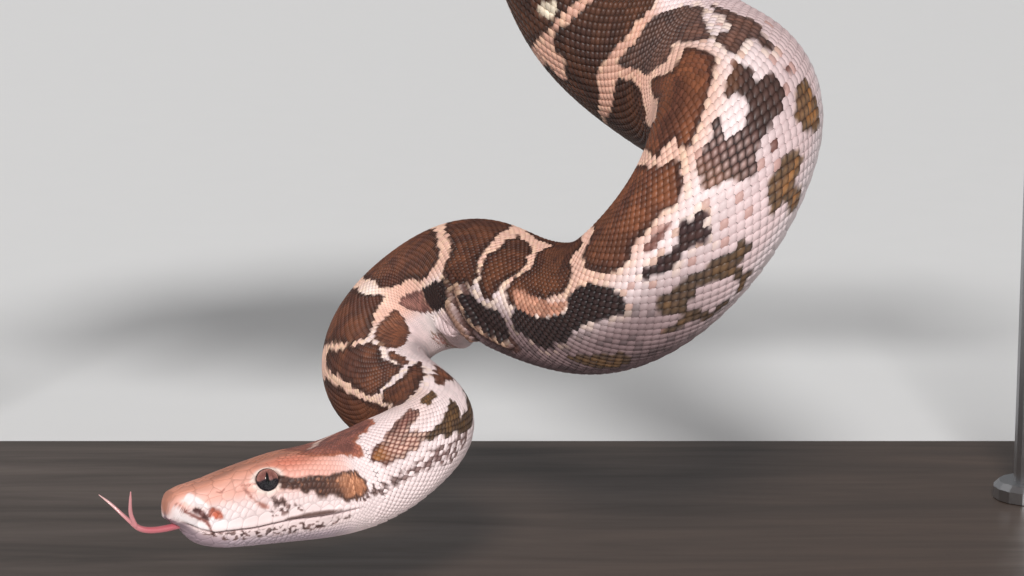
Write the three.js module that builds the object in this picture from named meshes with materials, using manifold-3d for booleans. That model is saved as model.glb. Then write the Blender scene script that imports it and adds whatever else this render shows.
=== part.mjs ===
import * as THREE from 'three';
import Module from 'manifold-3d';

// A python hanging in loops from a cut branch that it grips with its body and tail, on a display stand.
// Millimetres, +Z up, the underside of the base at Z = 0. The front of the stand faces -Y.
// Places on the snake are given as (along, side, up): along the spine from the tip of the snout,
// out to the snake's left, and towards its back.

const wasm = await Module();
wasm.setup();

const GAP = 0.3;

// Stand and branch
const BASE = { width: 520, depth: 220, height: 14, corner: 16, bevel: 1.5 };
const BRANCH = { radius: 24, length: 490, y: 22, z: 286, sides: 28 };
const ROD = { x: 228, radius: 6, collarRadius: 13, collarHeight: 6, baseSocket: 8, branchSocket: 14 };
const KNOT = { x: 168, radius: 9, length: 34, lean: 0.7 };

// The snake's way through space: x, y, z and how far its back is turned from the front, in degrees.
const SNOUT = new THREE.Vector3(-57.6, -135, 51.5);
const OCCIPUT = new THREE.Vector3(-7.5, -110, 53.5);
const HEAD_LEAN = 86;
const HEAD_STEPS = 4;
const HANGING = [
  [12.7, -103.6, 61.2, 84],
  [19.1, -94.2, 65.6, 80],
  [16.9, -80.8, 69.2, 74],
  [8.4, -69, 70.9, 66],
  [1, -57.3, 75.5, 59],
  [1.9, -45.7, 85.6, 53],
  [17.1, -42.1, 100.1, 49],
  [33.3, -55.7, 107, 56],
  [46.2, -72.4, 104.3, 64],
  [60.1, -85.2, 102.4, 68],
  [72.6, -96.3, 105.5, 72],
  [84.4, -105.4, 114.2, 78],
  [95.5, -110, 126.5, 84],
  [104.9, -108.8, 140.9, 86],
  [111.2, -99.7, 154.9, 84],
  [112.7, -83.8, 163.8, 76],
  [104.3, -65.1, 169.5, 62],
  [88.8, -52.2, 179.3, 48],
  [74.5, -46.1, 193.1, 36],
  [65.1, -42.9, 212.9, 24],
  [57, -40, 238, 10],
];

// The windings round the branch
const WINDING = { startX: 47, startAlong: 505.5, stepDegrees: 30, gripGap: 0.6, slant: 1.02, sag: 7 };
const COIL_GAP = { least: 1.4, extra: 2.4, rate: 0.41 };
const SNAKE_LENGTH = 2080;

// Half the body's width, by distance from the snout
const GIRTH = [
  [60, 15.5], [85, 14.6], [105, 14.7], [125, 17.8], [150, 17.6], [190, 18.9], [240, 21.2], [270, 24.2],
  [300, 25.9], [350, 28], [450, 28.2], [650, 28.3], [900, 28.4], [1200, 27], [1500, 23.8], [1750, 19],
  [1880, 15.5], [1980, 9.8], [2050, 4.2], [2080, 1.4],
];
const BODY_HEIGHT_RATIO = 0.97;
const BELLY_DEPTH_RATIO = 0.93;
const BELLY_FLATNESS = 0.8;

// Loose skin that swells out on the inside of the first bend: where along and round the body, and how far
const LOOSE_SKIN = { along: 184, reach: 20, degrees: 128, spread: 28, height: 4.5 };

// The head's outline: along, half width, height above the axis, depth below it
const HEAD_OUTLINE = [
  [0, 4.4, 3.4, 3.2], [1.2, 6.4, 4.8, 4.4], [3, 7.9, 5.7, 5.6], [5, 8.9, 6.3, 8.2], [7, 9.5, 6.7, 10.6],
  [10, 10.2, 7.1, 12.4], [15, 11, 7.9, 13.8], [22, 12, 9.6, 14.6], [28.5, 13.1, 10.8, 15],
  [33.5, 14.2, 11.6, 15.3], [44.5, 17.2, 12.7, 15.8], [54, 19, 14.4, 15.9], [60.5, 19, 15.3, 15.7],
  [68, 17.6, 15.4, 15.2], [76, 16, 15, 14.4], [88, 14.8, 14.3, 13.6],
];
const HEAD_END = 70;
const CROWN_BLEND = { from: 38, to: 66 };
const NECK_BLEND_END = 88;
const WIDEST_LEVEL = -2;
const CROWN_SQUARENESS = 3.1;
const NAPE_SQUARENESS = 2.2;
const CHIN_SQUARENESS = 2.3;

// The line of the mouth and where the lower jaw ends
const LIP_LINE = [
  [-4, -2.9], [0, -2.9], [2.7, -3.9], [7.5, -6.6], [11.5, -8.1], [23.5, -8.3], [34.5, -7.1], [55, -7.4],
];
const LIP_SPACING = 3;
const JAW_END = 59;
const JAW_CUT_DEPTH = 30;

const EYE = { along: 28.4, side: 11.5, up: 5.6, radius: 3.8, bulge: 3.1, turnForward: 12, turnUp: 8 };
const ORBIT = { spare: 0.8, outward: 2.2 };

// The tongue: along, side, up, radius
const TONGUE_STEM = [
  [9, 0, -4.9, 1.2], [2, 0, -5.4, 1.25], [-5, 0, -5.3, 1.2], [-8.4, 0, -4.1, 1.1], [-10.2, 0, -2.4, 0.95],
];
const TONGUE_LEFT = [
  [-9.2, 0.3, -3.6, 0.8], [-10.8, 1.8, 0.2, 0.65], [-11.4, 4, 3.4, 0.5], [-11.6, 6.5, 7.6, 0.35],
];
const TONGUE_RIGHT = [
  [-9.2, -0.3, -3.6, 0.8], [-12.4, -2, 0.4, 0.65], [-15, -4, 3.8, 0.5], [-17.5, -6, 6.5, 0.3],
];
const TONGUE_CLEARANCE = 0.3;
const TONGUE_FLATNESS = 0.8;
const TONGUE_STEPS = 7;

// Where the body is parted, by distance from the snout
const NECK_END = 120;
const TRUNK_CUTS = [NECK_END, 185, 285, 385, 490, 655, 822, 990, 1156, 1320, 1480, 1632, 1776];
const TAIL_CUTS = [1776, 1910, SNAKE_LENGTH];

// How finely each shape is faceted: the gap between rings, and the points round a ring
const HEAD_STOPS = [0, 0.5, 1.4, 2.8, 4.5, 6.5, 9, 13, 19, 25, 30, 36, 43, 51, 58, 65];
const RING_SPACING = { neck: 6, hanging: 9, winding: 15, tail: 10 };
const SIDES = {
  head: 24, hanging: 20, winding: 15, tail: 12, tongue: 8, eye: 12, rod: 16, socket: 20, stub: 16,
};
const SPINE_SAMPLES = 4000;

const MATERIALS = {
  skin: new THREE.MeshStandardMaterial({ color: 0x8a6a56, roughness: 0.45, metalness: 0 }),
  jaw: new THREE.MeshStandardMaterial({ color: 0xd8ccd2, roughness: 0.45, metalness: 0 }),
  eye: new THREE.MeshStandardMaterial({ color: 0x1c110d, roughness: 0.08, metalness: 0 }),
  tongue: new THREE.MeshStandardMaterial({ color: 0xc0596f, roughness: 0.35, metalness: 0 }),
  wood: new THREE.MeshStandardMaterial({ color: 0x6e5a48, roughness: 0.85, metalness: 0 }),
  base: new THREE.MeshStandardMaterial({ color: 0xb9b6b0, roughness: 0.6, metalness: 0 }),
  steel: new THREE.MeshStandardMaterial({ color: 0xa9abad, roughness: 0.35, metalness: 0.9 }),
};

// A smooth curve through rows of numbers: the natural cubic spline over the given knots.
function smoothCurve(knots, rows) {
  const last = knots.length - 1;
  const width = rows[0].length;
  const bend = rows.map(() => new Array(width).fill(0));
  for (let column = 0; column < width; column += 1) {
    const upper = new Array(last + 1).fill(0);
    const value = new Array(last + 1).fill(0);
    for (let i = 1; i < last; i += 1) {
      const before = knots[i] - knots[i - 1];
      const after = knots[i + 1] - knots[i];
      const pull = 6 * ((rows[i + 1][column] - rows[i][column]) / after
        - (rows[i][column] - rows[i - 1][column]) / before);
      const pivot = 2 * (before + after) - before * upper[i - 1];
      upper[i] = after / pivot;
      value[i] = (pull - before * value[i - 1]) / pivot;
    }
    for (let i = last - 1; i > 0; i -= 1) {
      bend[i][column] = value[i] - upper[i] * bend[i + 1][column];
    }
  }
  return (at) => {
    let i = 0;
    while (i < last - 1 && at > knots[i + 1]) {
      i += 1;
    }
    const span = knots[i + 1] - knots[i];
    const b = (at - knots[i]) / span;
    const a = 1 - b;
    return rows[i].map((row, column) => a * row + b * rows[i + 1][column]
      + ((a ** 3 - a) * bend[i][column] + (b ** 3 - b) * bend[i + 1][column]) * span * span / 6);
  };
}

const curveOfTable = (table) => smoothCurve(table.map((row) => row[0]), table.map((row) => row.slice(1)));
const girthCurve = curveOfTable(GIRTH);
const headCurve = curveOfTable(HEAD_OUTLINE);
const lipCurve = curveOfTable(LIP_LINE);

function halfWidth(along) {
  return girthCurve(THREE.MathUtils.clamp(along, GIRTH[0][0], SNAKE_LENGTH))[0];
}

// The direction of the back where the body runs along `tangent`, turned `lean` degrees from the front.
function leaningBack(tangent, lean) {
  const front = new THREE.Vector3(0, -0.985, 0.174);
  front.addScaledVector(tangent, -front.dot(tangent)).normalize();
  const upward = new THREE.Vector3().crossVectors(front, tangent);
  const angle = THREE.MathUtils.degToRad(lean);
  return front.multiplyScalar(Math.cos(angle)).addScaledVector(upward, Math.sin(angle));
}

function hangingStations() {
  const rows = [];
  for (let i = 0; i <= HEAD_STEPS; i += 1) {
    const point = new THREE.Vector3().lerpVectors(SNOUT, OCCIPUT, i / HEAD_STEPS);
    rows.push({ point, lean: HEAD_LEAN });
  }
  for (const [x, y, z, lean] of HANGING) {
    rows.push({ point: new THREE.Vector3(x, y, z), lean });
  }
  return rows.map(({ point, lean }, i) => {
    const before = rows[Math.max(i - 1, 0)].point;
    const after = rows[Math.min(i + 1, rows.length - 1)].point;
    const tangent = new THREE.Vector3().subVectors(after, before).normalize();
    return { point, back: leaningBack(tangent, lean) };
  });
}

function windingStations() {
  const stations = [];
  const step = THREE.MathUtils.degToRad(WINDING.stepDegrees);
  let x = WINDING.startX;
  let angle = 0;
  let along = WINDING.startAlong;
  while (along < SNAKE_LENGTH + 20) {
    const sag = WINDING.sag * Math.max(0, -Math.sin(angle)) ** 1.5 * Math.min(1, halfWidth(along) / 26);
    const reach = BRANCH.radius + WINDING.gripGap + halfWidth(along) + sag;
    const back = new THREE.Vector3(0, -Math.cos(angle), Math.sin(angle));
    stations.push({ point: new THREE.Vector3(x, BRANCH.y, BRANCH.z).addScaledVector(back, reach), back });
    const halfTurn = Math.PI * reach;
    const neighbours = halfWidth(along - halfTurn) + halfWidth(along + halfTurn);
    const gap = COIL_GAP.least + COIL_GAP.extra * (1 - Math.cos(COIL_GAP.rate * angle));
    const pitch = neighbours * WINDING.slant + gap;
    x -= pitch * step / (2 * Math.PI);
    along += step * Math.hypot(reach, pitch / (2 * Math.PI));
    angle += step;
  }
  return stations;
}

// The spine: position and directions at any distance from the snout.
function makeSpine() {
  const stations = [...hangingStations(), ...windingStations()];
  const knots = [0];
  for (let i = 1; i < stations.length; i += 1) {
    knots.push(knots[i - 1] + stations[i].point.distanceTo(stations[i - 1].point));
  }
  const rows = stations.map(({ point, back }) => [...point.toArray(), ...back.toArray()]);
  const curve = smoothCurve(knots, rows);
  const samples = [];
  let travelled = 0;
  for (let i = 0; i <= SPINE_SAMPLES; i += 1) {
    const at = knots[knots.length - 1] * i / SPINE_SAMPLES;
    const point = new THREE.Vector3().fromArray(curve(at));
    travelled += i ? point.distanceTo(samples[i - 1].point) : 0;
    samples.push({ at, point, travelled });
  }
  const knotAt = (along) => {
    let i = 1;
    while (i < samples.length - 1 && samples[i].travelled < along) {
      i += 1;
    }
    const share = (along - samples[i - 1].travelled) / (samples[i].travelled - samples[i - 1].travelled);
    return THREE.MathUtils.lerp(samples[i - 1].at, samples[i].at, share);
  };
  return (along) => {
    const at = knotAt(along);
    const values = curve(at);
    const ahead = new THREE.Vector3().fromArray(curve(at + 0.05));
    const behind = new THREE.Vector3().fromArray(curve(at - 0.05));
    const tangent = ahead.sub(behind).normalize();
    const up = new THREE.Vector3(values[3], values[4], values[5]);
    up.addScaledVector(tangent, -up.dot(tangent)).normalize();
    const side = new THREE.Vector3().crossVectors(tangent, up);
    return { point: new THREE.Vector3(values[0], values[1], values[2]), tangent, up, side };
  };
}

const spineAt = makeSpine();

function place(along, side, up) {
  const frame = spineAt(along);
  return frame.point.addScaledVector(frame.side, side).addScaledVector(frame.up, up);
}

// A closed solid through rings of equal point count, its ends filled by flat fans.
function loft(rings) {
  const sides = rings[0].length;
  const positions = [];
  const index = [];
  rings.forEach((ring) => ring.forEach((point) => positions.push(...point.toArray())));
  for (let i = 0; i < rings.length - 1; i += 1) {
    for (let j = 0; j < sides; j += 1) {
      const next = (j + 1) % sides;
      const a = i * sides + j;
      const b = i * sides + next;
      index.push(a, b, a + sides, b, b + sides, a + sides);
    }
  }
  for (const turned of [true, false]) {
    const ring = turned ? rings[0] : rings[rings.length - 1];
    const first = turned ? 0 : (rings.length - 1) * sides;
    const centre = new THREE.Vector3();
    ring.forEach((point) => centre.addScaledVector(point, 1 / sides));
    const middle = positions.length / 3;
    positions.push(...centre.toArray());
    for (let j = 0; j < sides; j += 1) {
      const pair = [first + j, first + (j + 1) % sides];
      index.push(middle, ...(turned ? pair.reverse() : pair));
    }
  }
  const geometry = new THREE.BufferGeometry();
  geometry.setAttribute('position', new THREE.Float32BufferAttribute(positions, 3));
  geometry.setIndex(index);
  return geometry;
}

function ringAt(along, sides, outline) {
  const frame = spineAt(along);
  const ring = [];
  for (let j = 0; j < sides; j += 1) {
    const [side, up] = outline(along, 2 * Math.PI * j / sides);
    ring.push(frame.point.clone().addScaledVector(frame.side, side).addScaledVector(frame.up, up));
  }
  return ring;
}

// The body's round section with its flatter belly. Angle 0 is the back, a quarter turn the left flank.
function bodyOutline(along, angle) {
  const width = halfWidth(along);
  const height = width * BODY_HEIGHT_RATIO;
  const lift = Math.cos(angle);
  const up = lift > 0 ? height * lift : -height * BELLY_DEPTH_RATIO * (-lift) ** BELLY_FLATNESS;
  const away = (along - LOOSE_SKIN.along) / LOOSE_SKIN.reach;
  const round = (THREE.MathUtils.radToDeg(angle) - LOOSE_SKIN.degrees) / LOOSE_SKIN.spread;
  const swell = LOOSE_SKIN.height * Math.exp(-(away ** 2) - round ** 2);
  return [(width + swell) * Math.sin(angle), up + swell * lift];
}

const power = (value, squareness) => Math.sign(value) * Math.abs(value) ** (2 / squareness);

// The head's section: a square-shouldered crown, the widest level near the lips, and a rounded chin.
function headOutline(along, angle) {
  const [width, top, bottom] = headCurve(along);
  const blend = THREE.MathUtils.smoothstep(along, CROWN_BLEND.from, CROWN_BLEND.to);
  const crown = THREE.MathUtils.lerp(CROWN_SQUARENESS, NAPE_SQUARENESS, blend);
  const squareness = Math.cos(angle) > 0 ? crown : CHIN_SQUARENESS;
  const reach = Math.cos(angle) > 0 ? top - WIDEST_LEVEL : bottom + WIDEST_LEVEL;
  const up = WIDEST_LEVEL + reach * power(Math.cos(angle), squareness);
  return [width * power(Math.sin(angle), squareness), up];
}

// The neck's section changes from the head's to the body's.
function neckOutline(along, angle) {
  const blend = THREE.MathUtils.smoothstep(along, HEAD_END, NECK_BLEND_END);
  const [headSide, headUp] = headOutline(Math.min(along, NECK_BLEND_END), angle);
  const [bodySide, bodyUp] = bodyOutline(along, angle);
  return [THREE.MathUtils.lerp(headSide, bodySide, blend), THREE.MathUtils.lerp(headUp, bodyUp, blend)];
}

function ringsBetween(from, to, spacing) {
  const count = Math.max(2, Math.round((to - from) / spacing));
  return Array.from({ length: count + 1 }, (_, i) => THREE.MathUtils.lerp(from, to, i / count));
}

function bodyLength(from, to, spacing, sides, outline = bodyOutline) {
  const ends = [from + GAP / 2, to - GAP / 2];
  return loft(ringsBetween(ends[0], ends[1], spacing).map((along) => ringAt(along, sides, outline)));
}

function solidOf(geometry) {
  const positions = geometry.attributes.position;
  const keys = new Map();
  const vertices = [];
  const renumber = [];
  for (let i = 0; i < positions.count; i += 1) {
    const point = [positions.getX(i), positions.getY(i), positions.getZ(i)];
    const key = point.map((value) => Math.round(value * 1e4)).join();
    if (!keys.has(key)) {
      keys.set(key, vertices.length / 3);
      vertices.push(...point);
    }
    renumber.push(keys.get(key));
  }
  const order = geometry.index ? [...geometry.index.array] : renumber.map((_, i) => i);
  const triangles = [];
  for (let i = 0; i < order.length; i += 3) {
    const corners = [renumber[order[i]], renumber[order[i + 1]], renumber[order[i + 2]]];
    if (new Set(corners).size === 3) {
      triangles.push(...corners);
    }
  }
  return new wasm.Manifold(new wasm.Mesh({
    numProp: 3, vertProperties: new Float32Array(vertices), triVerts: new Uint32Array(triangles),
  }));
}

function geometryOf(solid) {
  const mesh = solid.getMesh();
  const geometry = new THREE.BufferGeometry();
  geometry.setAttribute('position', new THREE.Float32BufferAttribute(mesh.vertProperties, 3));
  geometry.setIndex([...mesh.triVerts]);
  return geometry;
}

// A block cut from the head's side view: a closed polygon in (along, up), as wide as the head and more.
function headBlock(points) {
  const width = 60;
  const geometry = new THREE.ExtrudeGeometry(
    new THREE.Shape(points.map(([along, up]) => new THREE.Vector2(along, up))),
    { depth: width, bevelEnabled: false },
  );
  const { tangent, up, side } = spineAt(20);
  const basis = new THREE.Matrix4().makeBasis(tangent, up, side);
  const origin = SNOUT.clone().addScaledVector(side, -width / 2);
  geometry.applyMatrix4(basis.setPosition(origin));
  return solidOf(geometry);
}

// Tube through points given as (along, side, up, radius) in the head's frame, slightly flattened.
function tongueTube(points, spare = 0) {
  const { tangent, up, side } = spineAt(20);
  const inSpace = ([a, s, u]) => SNOUT.clone().addScaledVector(tangent, a).addScaledVector(side, s)
    .addScaledVector(up, u);
  const curve = new THREE.CatmullRomCurve3(points.map(inSpace));
  const rings = [];
  for (let i = 0; i <= TONGUE_STEPS; i += 1) {
    const share = i / TONGUE_STEPS;
    const at = share * (points.length - 1);
    const k = Math.min(Math.floor(at), points.length - 2);
    const radius = THREE.MathUtils.lerp(points[k][3], points[k + 1][3], at - k) + spare;
    const along = curve.getTangent(share);
    const across = new THREE.Vector3().crossVectors(along, up).normalize();
    const lift = new THREE.Vector3().crossVectors(across, along).normalize();
    const centre = curve.getPoint(share);
    rings.push(Array.from({ length: SIDES.tongue }, (_, j) => {
      const angle = 2 * Math.PI * j / SIDES.tongue;
      return centre.clone().addScaledVector(across, radius * Math.cos(angle))
        .addScaledVector(lift, TONGUE_FLATNESS * radius * Math.sin(angle));
    }));
  }
  const tube = solidOf(loft(rings));
  return tube.volume() < 0 ? solidOf(loft(rings.reverse())) : tube;
}

function eyeball(left, spare = 0, outward = 0) {
  const { tangent, up, side } = spineAt(EYE.along);
  const sign = left ? 1 : -1;
  const forward = THREE.MathUtils.degToRad(EYE.turnForward);
  const upward = THREE.MathUtils.degToRad(EYE.turnUp);
  const gaze = side.clone().multiplyScalar(sign).addScaledVector(tangent, -Math.tan(forward))
    .addScaledVector(up, Math.tan(upward)).normalize();
  const ball = new THREE.SphereGeometry(1, SIDES.eye, 7);
  ball.scale(EYE.radius + spare, EYE.radius + spare, EYE.bulge + spare);
  const turn = new THREE.Quaternion().setFromUnitVectors(new THREE.Vector3(0, 0, 1), gaze);
  ball.applyQuaternion(turn);
  ball.translate(...place(EYE.along, sign * (EYE.side + outward), EYE.up).toArray());
  return solidOf(ball);
}

// The head is made whole and parted along the line of the mouth.
function headAndJaw() {
  const rings = [...HEAD_STOPS, HEAD_END - GAP / 2].map((along) => ringAt(along, SIDES.head, headOutline));
  let whole = solidOf(loft(rings));
  for (const left of [true, false]) {
    whole = whole.subtract(eyeball(left, GAP)).subtract(eyeball(left, ORBIT.spare, ORBIT.outward));
  }
  whole = whole.subtract(tongueTube(TONGUE_STEM, TONGUE_CLEARANCE));
  const lipEnds = [LIP_LINE[0][0], LIP_LINE[LIP_LINE.length - 1][0]];
  const lip = ringsBetween(lipEnds[0], lipEnds[1], LIP_SPACING).map((along) => [along, lipCurve(along)[0]]);
  const lipEndLevel = lip[lip.length - 1][1];
  const blade = headBlock([
    ...lip.map(([along, up]) => [along, up + GAP / 2]),
    [JAW_END + GAP / 2, lipEndLevel],
    [JAW_END + GAP / 2, -JAW_CUT_DEPTH],
    [JAW_END - GAP / 2, -JAW_CUT_DEPTH],
    [JAW_END - GAP / 2, lipEndLevel - GAP],
    ...lip.map(([along, up]) => [along, up - GAP / 2]).reverse(),
  ]);
  const parts = whole.subtract(blade).decompose();
  parts.sort((a, b) => b.volume() - a.volume());
  return { head: geometryOf(parts[0]), jaw: geometryOf(parts[1]) };
}

function tongue() {
  return geometryOf(tongueTube(TONGUE_STEM).add(tongueTube(TONGUE_LEFT)).add(tongueTube(TONGUE_RIGHT)));
}

function cylinderAlongX(radius, length, sides) {
  return new THREE.CylinderGeometry(radius, radius, length, sides).rotateZ(Math.PI / 2);
}

// The branch with the stub of a side shoot and a socket for each rod.
function perchBranch() {
  const stub = new THREE.CylinderGeometry(KNOT.radius * 0.8, KNOT.radius, KNOT.length, SIDES.stub);
  stub.translate(0, KNOT.length / 2, 0).rotateX(KNOT.lean);
  stub.translate(KNOT.x, BRANCH.radius * 0.5 * Math.sin(KNOT.lean), BRANCH.radius * 0.6);
  let wood = solidOf(cylinderAlongX(BRANCH.radius, BRANCH.length, BRANCH.sides)).add(solidOf(stub));
  for (const x of [-ROD.x, ROD.x]) {
    const bore = ROD.radius + GAP;
    const socket = new THREE.CylinderGeometry(bore, bore, BRANCH.radius, SIDES.socket);
    socket.rotateX(Math.PI / 2).translate(x, 0, -BRANCH.radius * 1.5 + ROD.branchSocket + GAP);
    wood = wood.subtract(solidOf(socket));
  }
  return geometryOf(wood).translate(0, BRANCH.y, BRANCH.z);
}

function standBase() {
  const { width, depth, height, corner, bevel } = BASE;
  const half = [width / 2 - bevel, depth / 2 - bevel];
  const plan = new THREE.Shape();
  plan.moveTo(-half[0] + corner, -half[1]);
  plan.lineTo(half[0] - corner, -half[1]);
  plan.absarc(half[0] - corner, -half[1] + corner, corner, -Math.PI / 2, 0);
  plan.lineTo(half[0], half[1] - corner);
  plan.absarc(half[0] - corner, half[1] - corner, corner, 0, Math.PI / 2);
  plan.lineTo(-half[0] + corner, half[1]);
  plan.absarc(-half[0] + corner, half[1] - corner, corner, Math.PI / 2, Math.PI);
  plan.lineTo(-half[0], -half[1] + corner);
  plan.absarc(-half[0] + corner, -half[1] + corner, corner, Math.PI, 1.5 * Math.PI);
  const plate = new THREE.ExtrudeGeometry(plan, {
    depth: height - 2 * bevel, bevelSize: bevel, bevelThickness: bevel, bevelSegments: 1, curveSegments: 5,
  });
  let solid = solidOf(plate.translate(0, 0, bevel));
  for (const x of [-ROD.x, ROD.x]) {
    const bore = ROD.radius + GAP;
    const socket = new THREE.CylinderGeometry(bore, bore, height, SIDES.socket);
    socket.rotateX(Math.PI / 2).translate(x, BRANCH.y, height * 1.5 - ROD.baseSocket - GAP);
    solid = solid.subtract(solidOf(socket));
  }
  return geometryOf(solid);
}

// A rod stands in the base on a collar and ends inside the branch.
function standRod() {
  const foot = BASE.height - ROD.baseSocket;
  const collarFoot = BASE.height + GAP;
  const collarTop = collarFoot + ROD.collarHeight;
  const top = BRANCH.z - BRANCH.radius + ROD.branchSocket;
  const profile = [
    [0, foot], [ROD.radius, foot], [ROD.radius, collarFoot], [ROD.collarRadius, collarFoot],
    [ROD.collarRadius, collarTop - 2], [ROD.collarRadius - 2, collarTop], [ROD.radius, collarTop],
    [ROD.radius, top], [0, top],
  ].map(([radius, height]) => new THREE.Vector2(radius, height));
  return new THREE.LatheGeometry(profile, SIDES.rod).rotateX(Math.PI / 2);
}

const python = new THREE.Group();

function addPart(name, geometry, material) {
  const mesh = new THREE.Mesh(geometry, material.clone());
  mesh.name = name;
  python.add(mesh);
  return mesh;
}

const { head, jaw } = headAndJaw();
addPart('head', head, MATERIALS.skin);
addPart('lower_jaw', jaw, MATERIALS.jaw);
addPart('eye_left', geometryOf(eyeball(true)), MATERIALS.eye);
addPart('eye_right', geometryOf(eyeball(false)), MATERIALS.eye);
addPart('tongue', tongue(), MATERIALS.tongue);
const neck = bodyLength(HEAD_END, NECK_END, RING_SPACING.neck, SIDES.hanging, neckOutline);
addPart('neck', neck, MATERIALS.skin);

for (let i = 1; i < TRUNK_CUTS.length; i += 1) {
  const stretch = TRUNK_CUTS[i] <= WINDING.startAlong ? 'hanging' : 'winding';
  const geometry = bodyLength(TRUNK_CUTS[i - 1], TRUNK_CUTS[i], RING_SPACING[stretch], SIDES[stretch]);
  addPart(`trunk_${i}`, geometry, MATERIALS.skin);
}
for (let i = 1; i < TAIL_CUTS.length; i += 1) {
  const geometry = bodyLength(TAIL_CUTS[i - 1], TAIL_CUTS[i], RING_SPACING.tail, SIDES.tail);
  addPart(`tail_${i}`, geometry, MATERIALS.skin);
}

addPart('perch_branch', perchBranch(), MATERIALS.wood);
addPart('stand_base', standBase(), MATERIALS.base);
for (const [side, x] of [['left', -ROD.x], ['right', ROD.x]]) {
  addPart(`stand_rod_${side}`, standRod(), MATERIALS.steel).position.set(x, BRANCH.y, 0);
}

export default python;
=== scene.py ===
"""Looks of a coiled python that hangs from a short length of branch on a display stand."""

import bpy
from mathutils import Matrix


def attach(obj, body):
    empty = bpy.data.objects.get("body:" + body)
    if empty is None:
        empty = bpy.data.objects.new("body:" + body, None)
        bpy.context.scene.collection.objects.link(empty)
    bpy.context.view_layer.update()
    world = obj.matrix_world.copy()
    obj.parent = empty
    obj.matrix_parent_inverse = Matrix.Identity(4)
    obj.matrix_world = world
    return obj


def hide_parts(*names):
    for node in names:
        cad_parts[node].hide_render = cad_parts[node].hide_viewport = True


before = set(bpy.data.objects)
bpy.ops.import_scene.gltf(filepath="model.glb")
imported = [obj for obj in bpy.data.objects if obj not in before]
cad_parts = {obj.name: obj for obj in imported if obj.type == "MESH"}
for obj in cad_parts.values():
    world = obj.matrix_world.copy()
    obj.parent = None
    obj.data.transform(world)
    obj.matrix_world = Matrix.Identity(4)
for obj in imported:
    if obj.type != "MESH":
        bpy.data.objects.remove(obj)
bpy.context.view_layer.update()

import math  # noqa: E402

import bpy  # noqa: E402
import numpy as np  # noqa: E402
from bpy.props import FloatProperty, FloatVectorProperty, IntProperty, PointerProperty  # noqa: E402

bl_info = {
    "name": "Coiled python model",
    "version": (1, 0, 0),
    "blender": (4, 5, 0),
    "location": "3D View > Sidebar > Python",
    "description": "Skin, scales, eyes, tongue, branch and stage of a life-size python model",
    "category": "Add Mesh",
}

MM = 0.001

# ---------------------------------------------------------------- the snake's own sizes, in millimetres
SNAKE_LENGTH = 2080.0
SNOUT = np.array([-57.6, -135.0, 51.5])
OCCIPUT = np.array([-7.5, -110.0, 53.5])
HEAD_LEAN = 86.0
HEAD_STEPS = 4
# (x, y, z, lean of the back in degrees) from the nape up to the branch. The places were fitted to the
# snake's outline by a separate program and rounded; the leans were set by hand.
HANGING = np.array(
    [
        (12.7, -103.6, 61.2, 84), (19.1, -94.2, 65.6, 80), (16.9, -80.8, 69.2, 74), (8.4, -69, 70.9, 66),
        (1, -57.3, 75.5, 59), (1.9, -45.7, 85.6, 53), (17.1, -42.1, 100.1, 49), (33.3, -55.7, 107, 56),
        (46.2, -72.4, 104.3, 64), (60.1, -85.2, 102.4, 68), (72.6, -96.3, 105.5, 72),
        (84.4, -105.4, 114.2, 78), (95.5, -110, 126.5, 84), (104.9, -108.8, 140.9, 86),
        (111.2, -99.7, 154.9, 84), (112.7, -83.8, 163.8, 76), (104.3, -65.1, 169.5, 62),
        (88.8, -52.2, 179.3, 48), (74.5, -46.1, 193.1, 36), (65.1, -42.9, 212.9, 24), (57, -40, 238, 10),
    ],
    float,
)
BRANCH = {"radius": 24.0, "length": 490.0, "y": 22.0, "z": 286.0}
KNOT = {"x": 168.0, "radius": 9.0, "length": 34.0, "lean": 0.7}
WINDING = {
    "start_x": 47.0,
    "start_along": 505.5,
    "step": math.radians(30),
    "gap": 0.6,
    "slant": 1.02,
    "sag": 7.0,
    "full_girth": 26.0,
}
COIL_GAP = {"least": 1.4, "extra": 2.4, "rate": 0.41}
# (along, half width) of neck, trunk and tail
GIRTH = np.array(
    [
        (60, 15.5), (85, 14.6), (105, 14.7), (125, 17.8), (150, 17.6), (190, 18.9), (240, 21.2),
        (270, 24.2), (300, 25.9), (350, 28), (450, 28.2), (650, 28.3), (900, 28.4), (1200, 27),
        (1500, 23.8), (1750, 19), (1880, 15.5), (1980, 9.8), (2050, 4.2), (2080, 1.4),
    ],
    float,
)
# (along, half width, top, bottom) of the head, measured from its axis
HEAD_OUTLINE = np.array(
    [
        (0, 4.4, 3.4, 3.2), (1.2, 6.4, 4.8, 4.4), (3, 7.9, 5.7, 5.6), (5, 8.9, 6.3, 8.2),
        (7, 9.5, 6.7, 10.6), (10, 10.2, 7.1, 12.4), (15, 11, 7.9, 13.8), (22, 12, 9.6, 14.6),
        (28.5, 13.1, 10.8, 15), (33.5, 14.2, 11.6, 15.3), (44.5, 17.2, 12.7, 15.8), (54, 19, 14.4, 15.9),
        (60.5, 19, 15.3, 15.7), (68, 17.6, 15.4, 15.2), (76, 16, 15, 14.4), (88, 14.8, 14.3, 13.6),
    ],
    float,
)
# (along, height) of the line between the lips
LIP_LINE = np.array(
    [(-4, -2.9), (0, -2.9), (2.7, -3.9), (7.5, -6.6), (11.5, -8.1), (23.5, -8.3), (34.5, -7.1), (55, -7.4)]
)
WIDEST_LEVEL = -2.0
EYE = {"along": 28.4, "side": 11.5, "up": 5.6, "bulge": 3.1, "forward": 12.0, "upward": 8.0}
EYE_DEGREES = 60.0
# the skin's distance from the axis: at the eye, over the front of the head, and over the whole head
EYE_REACH, FRONT_REACH, HEAD_REACH = 12.6, 13.0, 14.0
NECK_START = GIRTH[0, 0]
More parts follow.
